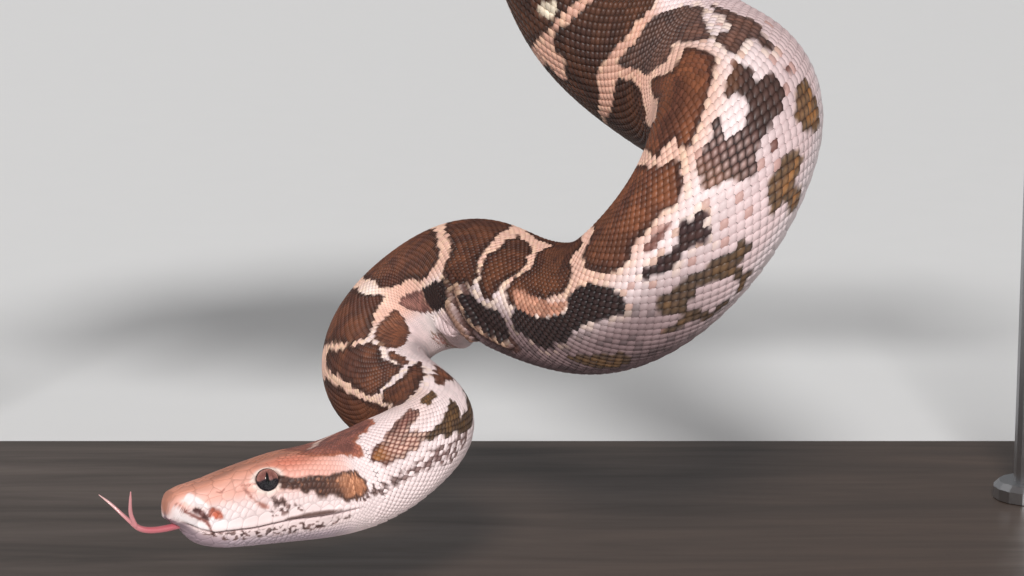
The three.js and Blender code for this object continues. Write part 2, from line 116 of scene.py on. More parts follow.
# (along, side, up, half width) of the tongue's stem and tips
TONGUE_STEM = np.array(
    [(9, 0, -4.9, 1.2), (2, 0, -5.4, 1.25), (-5, 0, -5.3, 1.2), (-8.4, 0, -4.1, 1.1), (-10.2, 0, -2.4, 0.95)]
)
TONGUE_LEFT = np.array(
    [(-9.2, 0.3, -3.6, 0.8), (-10.8, 1.8, 0.2, 0.65), (-11.4, 4, 3.4, 0.5), (-11.6, 6.5, 7.6, 0.35)]
)
TONGUE_RIGHT = np.array(
    [(-9.2, -0.3, -3.6, 0.8), (-12.4, -2, 0.4, 0.65), (-15, -4, 3.8, 0.5), (-17.5, -6, 6.5, 0.3)]
)
LOOSE_SKIN = {"along": 184.0, "reach": 20.0, "degrees": 128.0, "spread": 28.0, "height": 4.5}
SNAKE_NODES = ["head", "lower_jaw", "neck"] + [f"trunk_{i}" for i in range(1, 13)] + ["tail_1", "tail_2"]

# ---------------------------------------------------------------- how the skin and scales are laid out
COAT_DEPTH = 0.45
# the skin's rings are finest to FINE_SKIN_END and fine to NEAR_SKIN_END
FINE_SKIN_END, NEAR_SKIN_END, NEAR_RING_SHARE = 72, 250, 0.45
CAP_LENGTH, CAP_BULGE = 2.0, 0.5
FINE_STEP, FINE_END = 0.25, 80.0
COLUMNS, TURN_STEPS = 256, 720
HEAD_END = 66.0
# on the bake map: the width of a scale's patch, the share that the patches' middles fill, and the margin
PATCH, PATCH_SPAN, PATCH_MARGIN = 0.003, 0.98, 0.01
# the share of the half girth that the small scales cover; the belly scales cover the rest
SIDE_EDGE = 0.82
PITCH_SHARE = 0.102  # length of a small scale as a share of the half width, where the rows are full
FULL_ROWS = 44
# (from, to, rows on each side of the back)
SCALE_ZONES = [(58, 1480, FULL_ROWS), (1480, 1776, 34), (1776, 1930, 26), (1930, 2025, 16), (2025, 2078, 10)]
# a small scale's outline, (towards the tail as a share of its length, across as a share of its row)
SCALE_OUTLINE = np.array(
    [(0.6, 0), (0.34, 0.64), (-0.07, 0.95), (-0.5, 0.42), (-0.5, -0.42), (-0.07, -0.95), (0.34, -0.64)]
)
COAT_LIMIT = 195000
# a belly scale from front to back, (towards the tail as a share of its length, height in mm)
SCUTE_PROFILE = np.array([(-0.56, -0.25), (-0.3, 0.16), (0.4, 0.36), (0.54, 0.26), (0.57, -0.2)])
# plates of the left side of the head: (along, degrees, reach in mm); the right side mirrors them
HEAD_PLATES = [
    (3.6, 60, 3.0), (5.4, 19, 2.7), (10.6, 17, 2.9), (10.4, 44, 2.0), (17.2, 14, 3.4), (15.4, 40, 2.3),
    (24.6, 10, 3.6), (21.4, 35, 1.9), (27.6, 36, 2.9), (8.6, 67, 1.6), (12.6, 60, 1.8), (12.4, 76, 1.7),
    (16.6, 56, 1.6), (16.4, 70, 1.7), (19.8, 52, 1.3), (20.2, 64, 1.4), (19.6, 78, 1.6), (22.6, 58, 1.1),
    (23.4, 70, 1.2), (32.9, 46, 1.4), (33.6, 57, 1.2), (33.4, 67, 1.2), (32.0, 77, 1.2),
    (25.4, 80.5, 1.2), (29.0, 82.5, 1.2), (32.0, 14, 2.6), (31.6, 31, 1.8), (36.5, 5, 2.0),
]
CHIN_PLATES = [(9.5, 150, 1.9), (14.0, 163, 2.8), (14.6, 143, 1.6), (20.5, 168, 2.2)]
# places along of the plates on each lip
LABIALS = np.array([4.6, 8.6, 12.9, 17.4, 21.9, 26.4, 30.9, 35.4, 39.7, 43.6, 47.0, 49.9, 52.3, 54.3])
EYE_OPENING, EYE_SHOWN = 3.75, 3.42
EYE_SIDES, TONGUE_SIDES, FLOOR_SIDES = 64, 20, 96
IRIS = {
    # lower: the eye's dark lower half; its faint blue is a painted reflection
    "lower": (30, 26, 34),
    "upper": (150, 98, 88),
    "fibre": (196, 142, 130),
    "inner": (120, 66, 60),
    "pupil": (8, 6, 8),
    "rim": (40, 28, 28),
    "back": (20, 14, 14),
}
TONGUE_COLOURS = (188, 96, 104), (222, 176, 172)
LIGHT_AIM = (0.04, -0.06, 0.15)
CORNER_POWER = 14
NEIGHBOURS = 14
BIG_PLATE = 1.55  # the reach from which a plate is drawn as a large one
# rings of a plate from its edge inwards: (share of its reach, height), then the height of its middle
BIG_RINGS = [
    (1, -0.04), (0.97, 0.03), (0.9, 0.07), (0.76, 0.085), (0.6, 0.095), (0.44, 0.1), (0.26, 0.103), (0, 0.105)
]
SMALL_RINGS = [(1, -0.08), (0.9, 0.05), (0.6, 0.13), (0, 0.145)]
PLATE_RINGS = {True: BIG_RINGS, False: SMALL_RINGS}
PLATE_SIDES = {True: 30, False: 10}
PLATE_RIM_SHADE = {True: 0.98, False: 0.93}


# ---------------------------------------------------------------- curves and small tools
def smooth(x, a, b):
    """A ramp from 0 at a to 1 at b, level at both ends."""
    t = np.clip((np.asarray(x, float) - a) / np.subtract(b, a), 0, 1)
    return t * t * (3 - 2 * t)


def unit(v):
    """Vectors divided by their lengths."""
    return v / np.maximum(np.linalg.norm(v, axis=-1, keepdims=True), 1e-12)


def spline(knots, values):
    """The natural cubic spline through values at knots: a cubic between each two, with one bend where
    they meet and none at the ends."""
    knots = np.asarray(knots, float)
    values = np.asarray(values, float).reshape(len(knots), -1)
    gap = np.diff(knots)
    n = len(knots)
    left, right = np.eye(n), np.zeros_like(values)
    i = np.arange(1, n - 1)
    left[i, i - 1], left[i, i], left[i, i + 1] = gap[i - 1], 2 * (gap[i - 1] + gap[i]), gap[i]
    slope = np.diff(values, axis=0) / gap[:, None]
    right[1:-1] = 6 * np.diff(slope, axis=0)
    bend = np.linalg.solve(left, right)

    def at(t):
        t = np.asarray(t, float)
        k = np.clip(np.searchsorted(knots, t) - 1, 0, n - 2)
        b = ((t - knots[k]) / gap[k])[..., None]
        a = 1 - b
        cubic = ((a**3 - a) * bend[k] + (b**3 - b) * bend[k + 1]) * (gap[k] ** 2)[..., None] / 6
        return a * values[k] + b * values[k + 1] + cubic

    return at


def lattice_noise(x, y, seed):
    """Smooth noise from 0 to 1: random values on a unit grid that repeats, joined by smooth ramps."""
    n = 64
    grid = np.random.default_rng(seed).random((n, n))
    xi, yi = np.floor(x).astype(int), np.floor(y).astype(int)
    fx, fy = smooth(x - xi, 0, 1), smooth(y - yi, 0, 1)
    a, b = grid[xi % n, yi % n], grid[(xi + 1) % n, yi % n]
    c, d = grid[xi % n, (yi + 1) % n], grid[(xi + 1) % n, (yi + 1) % n]
    return (a * (1 - fx) + b * fx) * (1 - fy) + (c * (1 - fx) + d * fx) * fy


def bell(x, middle, reach):
    """exp(-((x - middle) / reach) ** 2): 1 at the middle, and about a third one reach away."""
    return np.exp(-(((x - middle) / reach) ** 2))


def lengths(points):
    """The distance travelled to each of a row of points."""
    return np.concatenate([[0], np.cumsum(np.linalg.norm(np.diff(points, axis=0), axis=1))])


girth_curve = spline(GIRTH[:, 0], GIRTH[:, 1])
head_curve = spline(HEAD_OUTLINE[:, 0], HEAD_OUTLINE[:, 1:])


def half_width(along):
    """The body's half width by the girth table; before the neck it is the neck's."""
    return girth_curve(np.clip(along, NECK_START, SNAKE_LENGTH))[..., 0]


def skin_reach(along):
    """The skin's distance from the axis, for turning degrees into millimetres over the skin."""
    return np.where(along < NECK_START, HEAD_REACH, np.maximum(half_width(along), 4))


def leaning_back(tangent, lean):
    """The back's direction: the front direction made square to the tangent, turned about it by lean
    degrees."""
    front = np.array([0, -0.985, 0.174])
    front = unit(front - (front * tangent).sum(-1, keepdims=True) * tangent)
    turn = np.radians(lean)[..., None]
    return front * np.cos(turn) + np.cross(front, tangent) * np.sin(turn)


def spine_stations():
    """Points and back directions from snout to tail: a straight head, the hanging bends, then turns about
    the branch whose reach is the branch's radius plus the body's, each turn stepping along by the girths
    that lie side by side. A turn sags below the branch by sag * sin(angle) ** 1.5, less where the body is
    thin."""
    share = np.linspace(0, 1, HEAD_STEPS + 1)[:, None]
    points = np.concatenate([SNOUT + (OCCIPUT - SNOUT) * share, HANGING[:, :3]])
    lean = np.concatenate([np.full(HEAD_STEPS + 1, HEAD_LEAN), HANGING[:, 3]])
    before = points[np.maximum(np.arange(len(points)) - 1, 0)]
    after = points[np.minimum(np.arange(len(points)) + 1, len(points) - 1)]
    backs = leaning_back(unit(after - before), lean)
    points, backs = list(points), list(backs)
    w, x, angle, along = WINDING, WINDING["start_x"], 0.0, WINDING["start_along"]
    while along < SNAKE_LENGTH + 20:
        own = float(half_width(along))
        sag = w["sag"] * max(0, -math.sin(angle)) ** 1.5 * min(1, own / w["full_girth"])
        reach = BRANCH["radius"] + w["gap"] + own + sag
        back = np.array([0, -math.cos(angle), math.sin(angle)])
        points.append(np.array([x, BRANCH["y"], BRANCH["z"]]) + back * reach)
        backs.append(back)
        half_turn = math.pi * reach
        beside = float(half_width(along - half_turn) + half_width(along + half_turn)) * w["slant"]
        pitch = beside + COIL_GAP["least"] + COIL_GAP["extra"] * (1 - math.cos(COIL_GAP["rate"] * angle))
        x -= pitch * w["step"] / (2 * math.pi)
        along += w["step"] * math.hypot(reach, pitch / (2 * math.pi))
        angle += w["step"]
    return np.array(points), np.array(backs)


def section(along, angle):
    """(side, up) of the body's outline at an angle from the back. The head's outline is a superellipse
    about its widest level, with cos and sin raised to 2 / square. It passes smoothly into the body's, a
    half ellipse above and a flatter one below."""
    along, angle = np.broadcast_arrays(np.asarray(along, float), np.asarray(angle, float))
    w, c, s = half_width(along), np.cos(angle), np.sin(angle)
    body_up = np.where(c > 0, 0.97 * w * c, -0.97 * w * 0.93 * np.abs(c) ** 0.8)
    body_side = w * s
    head = head_curve(np.clip(along, 0, 88))
    square = np.where(c > 0, 3.1 - 0.9 * smooth(along, 38, 66), 2.3)
    reach = np.where(c > 0, head[..., 1] - WIDEST_LEVEL, head[..., 2] + WIDEST_LEVEL)
    head_side = head[..., 0] * np.sign(s) * np.abs(s) ** (2 / square)
    head_up = WIDEST_LEVEL + reach * np.sign(c) * np.abs(c) ** (2 / square)
    m = smooth(along, 70, 88)
    return head_side + (body_side - head_side) * m, head_up + (body_up - head_up) * m


class Spine:
    """The snake's centre line by distance from the snout, with its tangent, back and left-side
    directions."""

    def __init__(self):
        points, backs = spine_stations()
        knots = lengths(points)
        self.curve = spline(knots, np.concatenate([points, backs], 1))
        self.knots = np.linspace(0, knots[-1], 4001)
        self.travelled = lengths(self.curve(self.knots)[:, :3])

    def frame(self, along):
        """(point, tangent, up, side) at distances from the snout; before the snout it goes straight on."""
        t = np.interp(along, self.travelled, self.knots)
        here = self.curve(t)
        step = 0.05
        tangent = unit(self.curve(t + step)[..., :3] - self.curve(t - step)[..., :3])
        up = here[..., 3:]
        up = unit(up - (up * tangent).sum(-1, keepdims=True) * tangent)
        point = here[..., :3] + np.minimum(along, 0)[..., None] * tangent
        return point, tangent, up, np.cross(tangent, up)

    def place(self, along, side, up):
        """Points given by distance along, to the snake's left and upwards."""
        p, _, u, s = self.frame(np.asarray(along, float))
        return p + s * np.asarray(side, float)[..., None] + u * np.asarray(up, float)[..., None]


def arc_distance(along, degrees, line):
    """Distance in mm, over the skin, from points to a line of (along, degrees) points."""
    line = np.asarray(line, float)
    scale = np.radians(1) * skin_reach(along)
    best = np.full(np.shape(along), 1e9)
    for a, b in zip(line[:-1], line[1:]):
        ax, ay = along - a[0], (degrees - a[1]) * scale
        bx, by = b[0] - a[0], (b[1] - a[1]) * scale
        t = np.clip((ax * bx + ay * by) / np.maximum(bx * bx + by * by, 1e-9), 0, 1)
        best = np.minimum(best, np.hypot(ax - t * bx, ay - t * by))
    return best


# pits and bumps of the head: (along, degrees, reach along, reach round, height)
HEAD_HOLLOWS = [
    (6.4, 86.5, 1.1, 0.8, -0.8),
    (9.0, 98, 0.6, 1.6, -0.4),
    (11.8, 92, 1.3, 0.9, -0.7),
    (4.2, 58, 1.7, 2.6, -0.35),
    (14.2, 59, 1.3, 1.3, -0.3),
    (20.5, 74, 3.2, 2.6, -0.55),
    (16.5, 24, 5.5, 3.2, 0.25),
    (27.5, 34, 5.0, 1.8, 0.45),
    (34.0, 88, 4.0, 2.0, -0.3),
    (48.0, 60, 9.0, 5.0, 0.35),
]
# raised folds of loose skin: points of (along, degrees)
FOLDS = [
    [(204.6, 70), (205.6, 79), (206.8, 92), (210, 105), (212, 116), (213, 132)],
    [(209.6, 73), (213.2, 88), (217, 101), (221.6, 108), (229, 111)],
    [(190, 96), (196, 108), (203, 122)],
]
FOLD = {"height": 1.3, "width": 1.3, "groove_away": 3.0, "groove_depth": 0.7, "groove_width": 1.2}
# the groove between the lips and the swellings above and below it: (height, middle, reach)
LIP_RELIEF = [(-0.9, 0.0, 0.38), (0.3, 1.0, 0.9), (-0.3, -1.2, 1.1)]
SOCKET_DEPTH, SOCKET_RIM, CREST_DEPTH = 2.6, 0.4, 0.5


def relief(along, degrees, up):
    """How far the skin stands out from the plain shape, in mm. Pits and swellings are bell shapes, and
    the lips are two swellings with a groove between them. The eye's socket has a rim. Where the neck
    bends, loose skin swells and folds, each fold a ridge with a groove beside it."""
    d = np.abs(degrees)
    out = np.zeros(np.broadcast(along, degrees).shape)
    for a, g, reach_along, reach_round, height in HEAD_HOLLOWS:
        out += height * bell(along, a, reach_along) * bell((d - g) * np.radians(FRONT_REACH), 0, reach_round)
    above = up - np.interp(along, LIP_LINE[:, 0], LIP_LINE[:, 1])
    lips = (d > 60) * smooth(along, 1.5, 5) * (1 - smooth(along, 53, 60))
    for height, middle, reach in LIP_RELIEF:
        out += lips * height * bell(above, middle, reach)
    eye = np.hypot(along - EYE["along"], (d - EYE_DEGREES) * np.radians(EYE_REACH))
    out += SOCKET_DEPTH * (smooth(eye, 2.8, 3.5) - 1) + SOCKET_RIM * bell(eye, 4.0, 0.6)
    crest = (1 - smooth(along, 60, 75)) * smooth(along, 36, 46)
    out -= CREST_DEPTH * crest * bell(degrees, 0, 14.0)
    loose = LOOSE_SKIN
    swell = bell(along, loose["along"], loose["reach"]) * bell(degrees, loose["degrees"], loose["spread"])
    out += loose["height"] * swell
    near = (along[:, 0] > 140) & (along[:, 0] < 250)
    for line in FOLDS:
        away = arc_distance(along[near], degrees[near], line)
        out[near] += FOLD["height"] * bell(away, 0, FOLD["width"])
        out[near] -= FOLD["groove_depth"] * bell(away, FOLD["groove_away"], FOLD["groove_width"])
    return out


class Surface:
    """The skin's shape as a table over distance along and q, the share of the half girth from the back
    (0) round to the belly (1 on the left, -1 on the right). The skin lies a scale's depth inside the
    plain shape."""

    def __init__(self, spine):
        fine = np.arange(-CAP_LENGTH, FINE_END, FINE_STEP)
        self.fine = len(fine)
        al = np.concatenate([fine, np.arange(FINE_END, SNAKE_LENGTH + 0.5)])
        turn = np.linspace(0, np.pi, TURN_STEPS + 1)
        side, up = section(np.maximum(al, 0)[:, None], turn[None])
        length = np.cumsum(np.hypot(np.diff(side, axis=1), np.diff(up, axis=1)), axis=1)
        length = np.concatenate([np.zeros((len(al), 1)), length], 1)
        self.half_girth = length[:, -1]
        share = length / length[:, -1:]
        row = np.arange(len(al))[:, None] * 2.0
        q = np.linspace(0, 1, COLUMNS // 2 + 1)
        angle = np.interp((row + q).ravel(), (row + share).ravel(), np.tile(turn, len(al)))
        angle = angle.reshape(len(al), -1)
        angle[:, 0], angle[:, -1] = 0, np.pi
        self.al, self.share = al, share
        self.angle = np.concatenate([-angle[:, :0:-1], angle], 1)
        side, up = section(np.maximum(al, 0)[:, None], self.angle)
        k = np.sin(np.pi / 2 * np.clip((al + CAP_LENGTH) / CAP_LENGTH, 0, 1))[:, None]
        side, level = side * k, WIDEST_LEVEL * (al[:, None] < 0)
        up_here = level + (up - level) * k
        p, tangent, u, s = spine.frame(np.maximum(al, 0))
        p = p - tangent * (CAP_BULGE * np.sqrt(1 - k**2))
        self.grid = p[:, None] + s[:, None] * side[..., None] + u[:, None] * up_here[..., None]
        out = relief(al[:, None] + 0 * self.angle, np.degrees(self.angle), up) - COAT_DEPTH
        self.grid = self.grid + self.find_normals() * out[..., None]
        self.normals = self.find_normals()

    def find_normals(self):
        """Outward unit vectors: the step round the body crossed with the step along it, and the cap's
        axis at its tip."""
        g = self.grid
        along = np.gradient(g, axis=0)
        ring = g[:, :-1]
        round_ = np.roll(ring, -1, 1) - np.roll(ring, 1, 1)
        round_ = np.concatenate([round_, round_[:, :1]], 1)
        n = unit(np.cross(round_, along))
        n[0] = unit(g[0] - g[12]).mean(0)
        return unit(n)

    def index(self, along):
        """The table's row, with its fraction, at a distance along."""
        along = np.asarray(along, float)
        i = np.where(along < FINE_END, (along + CAP_LENGTH) / FINE_STEP, self.fine + along - FINE_END)
        return np.clip(i, 0, len(self.al) - 1.001)

    def look_up(self, table, along, column):
        """The value of a table between its four nearest nodes."""
        i = self.index(along)
        i0, j0 = np.floor(i).astype(int), np.floor(column).astype(int)
        fi, fj = i - i0, column - j0
        if table.ndim == 3:
            fi, fj = fi[..., None], fj[..., None]
        j1 = np.minimum(j0 + 1, table.shape[1] - 1)
        low = table[i0, j0] * (1 - fj) + table[i0, j1] * fj
        high = table[i0 + 1, j0] * (1 - fj) + table[i0 + 1, j1] * fj
        return low * (1 - fi) + high * fi

    def column(self, q):
        """The table's column, with its fraction, at a share of the half girth."""
        q = (np.asarray(q, float) + 1) % 2 - 1
        return (q + 1) / 2 * COLUMNS

    def sample(self, along, q, lift=0.0):
        """Points on the skin, or lift mm above it."""
        along, q, lift = (np.asarray(v, float) for v in np.broadcast_arrays(along, q, lift))
        c = self.column(q)
        n = unit(self.look_up(self.normals, along, c))
        return self.look_up(self.grid, along, c) + n * lift[..., None]

    def degrees(self, along, q):
        """The angle from the back at a share of the half girth."""
        along, q = (np.asarray(v, float) for v in np.broadcast_arrays(along, q))
        return np.degrees(self.look_up(self.angle, along, self.column(q)))

    def q_at(self, along, degrees):
        """The share of the half girth at an angle from the back."""
        along, degrees = (np.asarray(v, float) for v in np.broadcast_arrays(along, degrees))
        return np.sign(degrees) * self.look_up(self.share, along, np.abs(degrees) / 180 * TURN_STEPS)

    def girth(self, along):
        """Half the way round the body, in mm."""
        i = self.index(along)
        return np.interp(i, np.arange(len(self.half_girth)), self.half_girth)


def head_border(degrees):
    """Distance along at which head plates give way to body scales: farther forward under the throat."""
    d = np.abs(degrees)
    return HEAD_END - 6.5 * smooth(d, 96, 140) + 0.7 * np.sin(d / 4)


# ---------------------------------------------------------------- markings
# Colours are sRGB, 0 to 255. Each mark is a closed outline of (along, degrees from the back, left
# positive), and the trunk's are counted from TRUNK_MARK_START.
TRUNK_MARK_START = -1.0
SADDLES = [
    [(146, -50), (144.7, -30), (143, -10), (141.7, 4.5), (140.5, 17), (139.2, 26.5), (137.4, 35.5),
        (136.2, 45), (135.6, 57.5), (135.6, 65), (139.2, 59.5), (143, 50), (146.5, 41), (150, 34),
        (155, 28.5), (160.5, 26), (159.2, 19), (157.4, 12), (156, 4.5), (156.8, -6.5), (157.4, -23),
        (158, -50)],
    [(160.5, -50), (161.4, -32), (161.7, -19.5), (162.3, -8.5), (163.5, 0.5), (163, 12), (164.7, 17),
        (166.5, 22.5), (171.4, 24.5), (177.4, 26.5), (181, 30), (184.7, 37.5), (187.7, 45), (190.8, 50.5),
        (194.4, 50.5), (196.2, 46.5), (198, 41), (196.8, 32), (194.4, 23), (192, 10), (189.5, -3),
        (186.5, -16), (184, -28.5), (179, -50)],
    [(188, -50), (187.7, -34), (190.2, -19.5), (192, -6.5), (194.4, 2.5), (197.4, 13.5), (200.5, 24.5),
        (202.6, 34), (203.5, 41), (202.3, 50), (203.2, 57.5), (204.7, 65), (207.7, 70.5), (211.4, 69),
        (213.2, 65), (217, 70), (216.2, 57.5), (214.4, 48.5), (212.9, 39), (213.2, 28), (212, 19),
        (210.8, 10), (210.2, -3), (209, -12), (206.5, -23), (203.5, -34), (200, -50)],
    [(214.5, -4), (216.8, 4.5), (216.2, 13.5), (217.4, 21), (218, 26.5), (216.8, 35.5), (216.5, 43),
        (217.4, 52), (218.6, 61.5), (219.8, 72.5), (222.3, 78), (224.7, 74.5), (225.3, 65), (226, 57.5),
        (228.3, 48.5), (230.8, 43), (231.4, 35.5), (229.5, 26.5), (228.6, 17.5), (226, 11), (221.7, 8),
        (218, 4.5)],
    [(205, -50), (208, -38), (214, -19), (222, -7), (232, -2), (237, 3), (234.5, 8), (232.5, 17.5),
        (234.4, 24.5), (236.8, 30), (236, 37), (234.4, 41), (231.4, 48.5), (229.5, 56), (229.5, 65),
        (231.5, 74.5), (234, 71.5), (237.7, 66), (241, 61), (244.3, 56.5), (248, 55), (252, 52),
        (255.5, 49), (259.3, 44.5), (261, 37), (261.7, 31), (260.7, 25), (261.5, 18), (266.5, 14),
        (266, 10), (262, -3), (257, -20), (252, -50)],
    [(272, -50), (270, -8), (272.7, 2.5), (273.3, 11.5), (270.7, 19), (268, 28), (269.3, 32.5), (269, 38),
        (270.7, 43), (273.3, 49), (277.3, 57.5), (280.7, 59), (282.7, 53.5), (284, 50.5), (288, 53.5),
        (294, 55), (296.7, 59.5), (300, 61), (302, 56.5), (304, 52), (305.7, 48), (304.7, 43), (303.3, 37),
        (302.7, 31), (301.3, 25), (301.7, 19), (300.7, 10), (300, -5), (298, -50)],
    [(309, -45), (309.3, -5), (308, 5.5), (306.7, 13), (305.7, 20.5), (305.5, 26.5), (308.5, 29), (311, 36),
        (309.3, 41.5), (308.7, 47.5), (310, 50), (320, 50.5), (326.7, 53.5), (332.5, 58), (336.7, 53.5),
        (341.3, 51), (338.3, 44), (337, 36.5), (334.6, 29), (339.8, 27), (346.5, 30), (353, 30.5),
        (349.5, 23), (340.6, 12.5), (333, 7), (325, 3.5), (321, 2), (320, -3), (323, -11), (322, -45)],
    [(350, -60), (341, -30), (345, -6), (352, -1), (358, 3), (354.3, 9.5), (358.3, 15.5), (362, 23),
        (364.3, 25), (370.2, 24.5), (374.6, 21.5), (379, 15.5), (379.8, 9.5), (379, 1.3), (378.3, -5.4),
        (379.8, -14), (381.5, -25), (384, -45), (384, -60)],
    [(385, -60), (384.5, -40), (385.7, -29), (385.4, -17), (386.5, -8.5), (389.8, -2.5), (390.2, 6.5),
        (389.4, 24.5), (388, 33.5), (387.2, 39.5), (388.7, 44), (387.2, 54), (387, 62), (392, 75),
        (400, 78), (407, 60), (410, 40), (407.2, 18.5), (406.9, 9.5), (406.5, 0.5), (407.2, -8.5),
        (406.5, -16), (404.3, -20), (402, -13), (400.6, -16), (398.3, -23), (398, -31), (399.8, -37),
        (404, -40), (404, -60)],
    [(409, -60), (409.5, -25), (409.5, -10), (411, 10), (413, 30), (413, 50), (420, 62), (440, 55),
        (446, 30), (447, 0), (445, -30), (443, -60)],
]
FLANK_MARKS = [
    ("dark", [(347, 42), (353, 39.5), (360, 37), (366.5, 37), (371.7, 34), (376, 29.5), (380.6, 24.5),
        (383.5, 21), (382.8, 33), (380.2, 39.5), (381.3, 44), (382, 51), (381.3, 59), (379, 66), (376, 72),
        (374, 79.5), (371.5, 85.5), (368.5, 89.5), (363.5, 91), (359, 90), (355.4, 85.5), (351, 81),
        (346.5, 75), (340.6, 67), (342, 62), (348.7, 59.5), (352.4, 58.5), (350, 51)]),
    ("black", [(233.4, 81), (235.6, 74.5), (243.3, 74.5), (247.3, 72.5), (252, 68.5), (256, 66.5),
        (258, 62), (259.3, 56), (260.7, 51.5), (263.3, 50), (267, 50.5), (269.3, 55), (271.3, 59.5),
        (272.7, 65.5), (273.7, 70), (272.7, 77.5), (271.3, 83.5), (270, 80), (266.7, 79), (260, 77),
        (256.7, 80), (253.3, 87.5), (248, 92.5), (246, 97), (244.3, 98.5), (242, 97), (239, 92.5),
        (233.8, 91)]),
    ("black", [(280.5, 68), (282.7, 73), (285.3, 76), (288.7, 77.5), (291.3, 79), (293, 74), (295, 73),
        (296, 77.5), (298.7, 79), (298.3, 83.5), (296.7, 85), (296.7, 89.5), (294.7, 90.8), (293.3, 86.5),
        (290, 83.5), (287.3, 85), (285.3, 83.5), (283.3, 80), (281.5, 75)]),
    ("rose", [(284, 62), (288, 61), (292, 64), (293, 66), (289, 67), (285, 65)]),
    ("ring", [(302.7, 73), (304.3, 68.5), (305.3, 62.5), (307, 59.5), (309.3, 62.5), (312.7, 62),
        (316, 59.5), (316.7, 63.5), (313.5, 68), (313.3, 72), (313.7, 76), (314.7, 80.5), (316.7, 81),
        (320, 80), (321.7, 76), (322, 70), (321, 65), (321.3, 62), (323.3, 62), (325.3, 65.5), (328, 66.5),
        (329.3, 73), (328.7, 77.5), (326, 80.5), (326, 85), (328.4, 94), (325.8, 96), (326.5, 99.5),
        (323.3, 98.5), (321, 100), (319.6, 95), (316.5, 93), (312.7, 92), (310.7, 95.5), (309, 96.5),
        (307.3, 91), (306, 83.5), (304, 81.5)]),
    ("dark", [(332, 70), (334, 68.5), (336.7, 67), (339.3, 70), (340, 76), (341, 82), (343.3, 87.5),
        (349.4, 91), (355.4, 94), (359.8, 97), (351, 97), (345, 100), (342, 100), (339, 94), (335.4, 97.5),
        (334, 94), (337, 91.5), (336, 84), (334.6, 79.5), (332.4, 75)]),
    ("black", [(214, 80), (217, 79), (220, 84), (223, 88), (229, 86), (230.5, 92), (231, 100), (230, 106),
        (225, 107), (221, 103), (218, 97), (215.5, 90)]),
    ("rose", [(163.5, 42), (168, 39), (172.6, 39), (178.6, 45), (184.7, 53), (190, 60), (197, 64),
        (200, 75), (200, 90), (194, 90), (189, 83), (184, 75), (178, 68), (171, 60), (166, 53)]),
    ("black", [(190, 60), (197, 64), (203, 67), (206, 75), (207, 85), (206.5, 92), (197, 90), (192, 84),
        (190, 72)]),
    ("brown", [(159.5, 49), (158, 45), (152, 47), (146, 53), (140, 64), (134, 75), (128, 88), (123, 100),
        (121, 110), (120.5, 120), (124, 128), (130, 120), (136, 105), (142, 95), (148, 82), (154, 70),
        (158, 60)]),
    ("olive", [(277.7, 92.5), (279.7, 91), (282.7, 93.5), (286.7, 95), (289.3, 98.5), (292.7, 102.5),
        (295.7, 107.5), (298, 110.5), (298.7, 116.5), (298, 122), (296, 119.5), (294.3, 119), (294, 129),
        (295, 139), (292, 142), (290, 148), (288.7, 142), (291.3, 133), (291.7, 124), (290.7, 115),
        (288.7, 110.5), (286.7, 104), (284.7, 107.5), (282.7, 106), (281.3, 112), (282.7, 119.5),
        (282.7, 130), (286.7, 136), (286.7, 142), (283.3, 139), (280.7, 134.5), (280.3, 124),
        (279.3, 119.5), (276.7, 120), (274, 115), (275.3, 110.5), (279.3, 112), (279.3, 106), (278, 100)]),
    ("tan", [(306.7, 109), (309, 107), (311, 109), (312, 113), (313.5, 109.5), (315.5, 110), (316, 116),
        (317, 122), (316.5, 128), (313, 128), (312, 134), (312.5, 142), (312, 150), (309, 150), (307, 142),
        (308, 134), (308, 126), (305.5, 125), (305, 120), (307, 117)]),
    ("tan", [(321, 112), (322.5, 107.5), (326, 107), (329, 110), (329, 116), (331, 120), (330, 130),
        (329, 138), (326, 142), (323.5, 135), (322, 126), (321, 119)]),
    ("olive", [(250, 103), (255, 101), (260, 104), (264, 108), (264, 116), (262, 124), (258, 126),
        (255, 120), (253, 112)]),
    ("rose", [(314, 99), (317, 99), (317, 102), (314, 102)]),
    ("rose", [(329.5, 99), (331, 99), (331, 103), (329.5, 103)]),
    ("pale", [(411, -8), (412, -17), (414.5, -19), (415.5, -12), (414.5, -3), (412, -2)]),
    ("gold", [(232, 60), (238, 56), (246, 57), (254, 56), (258, 58), (256, 65), (250, 69), (243, 73),
        (235, 73)]),
]
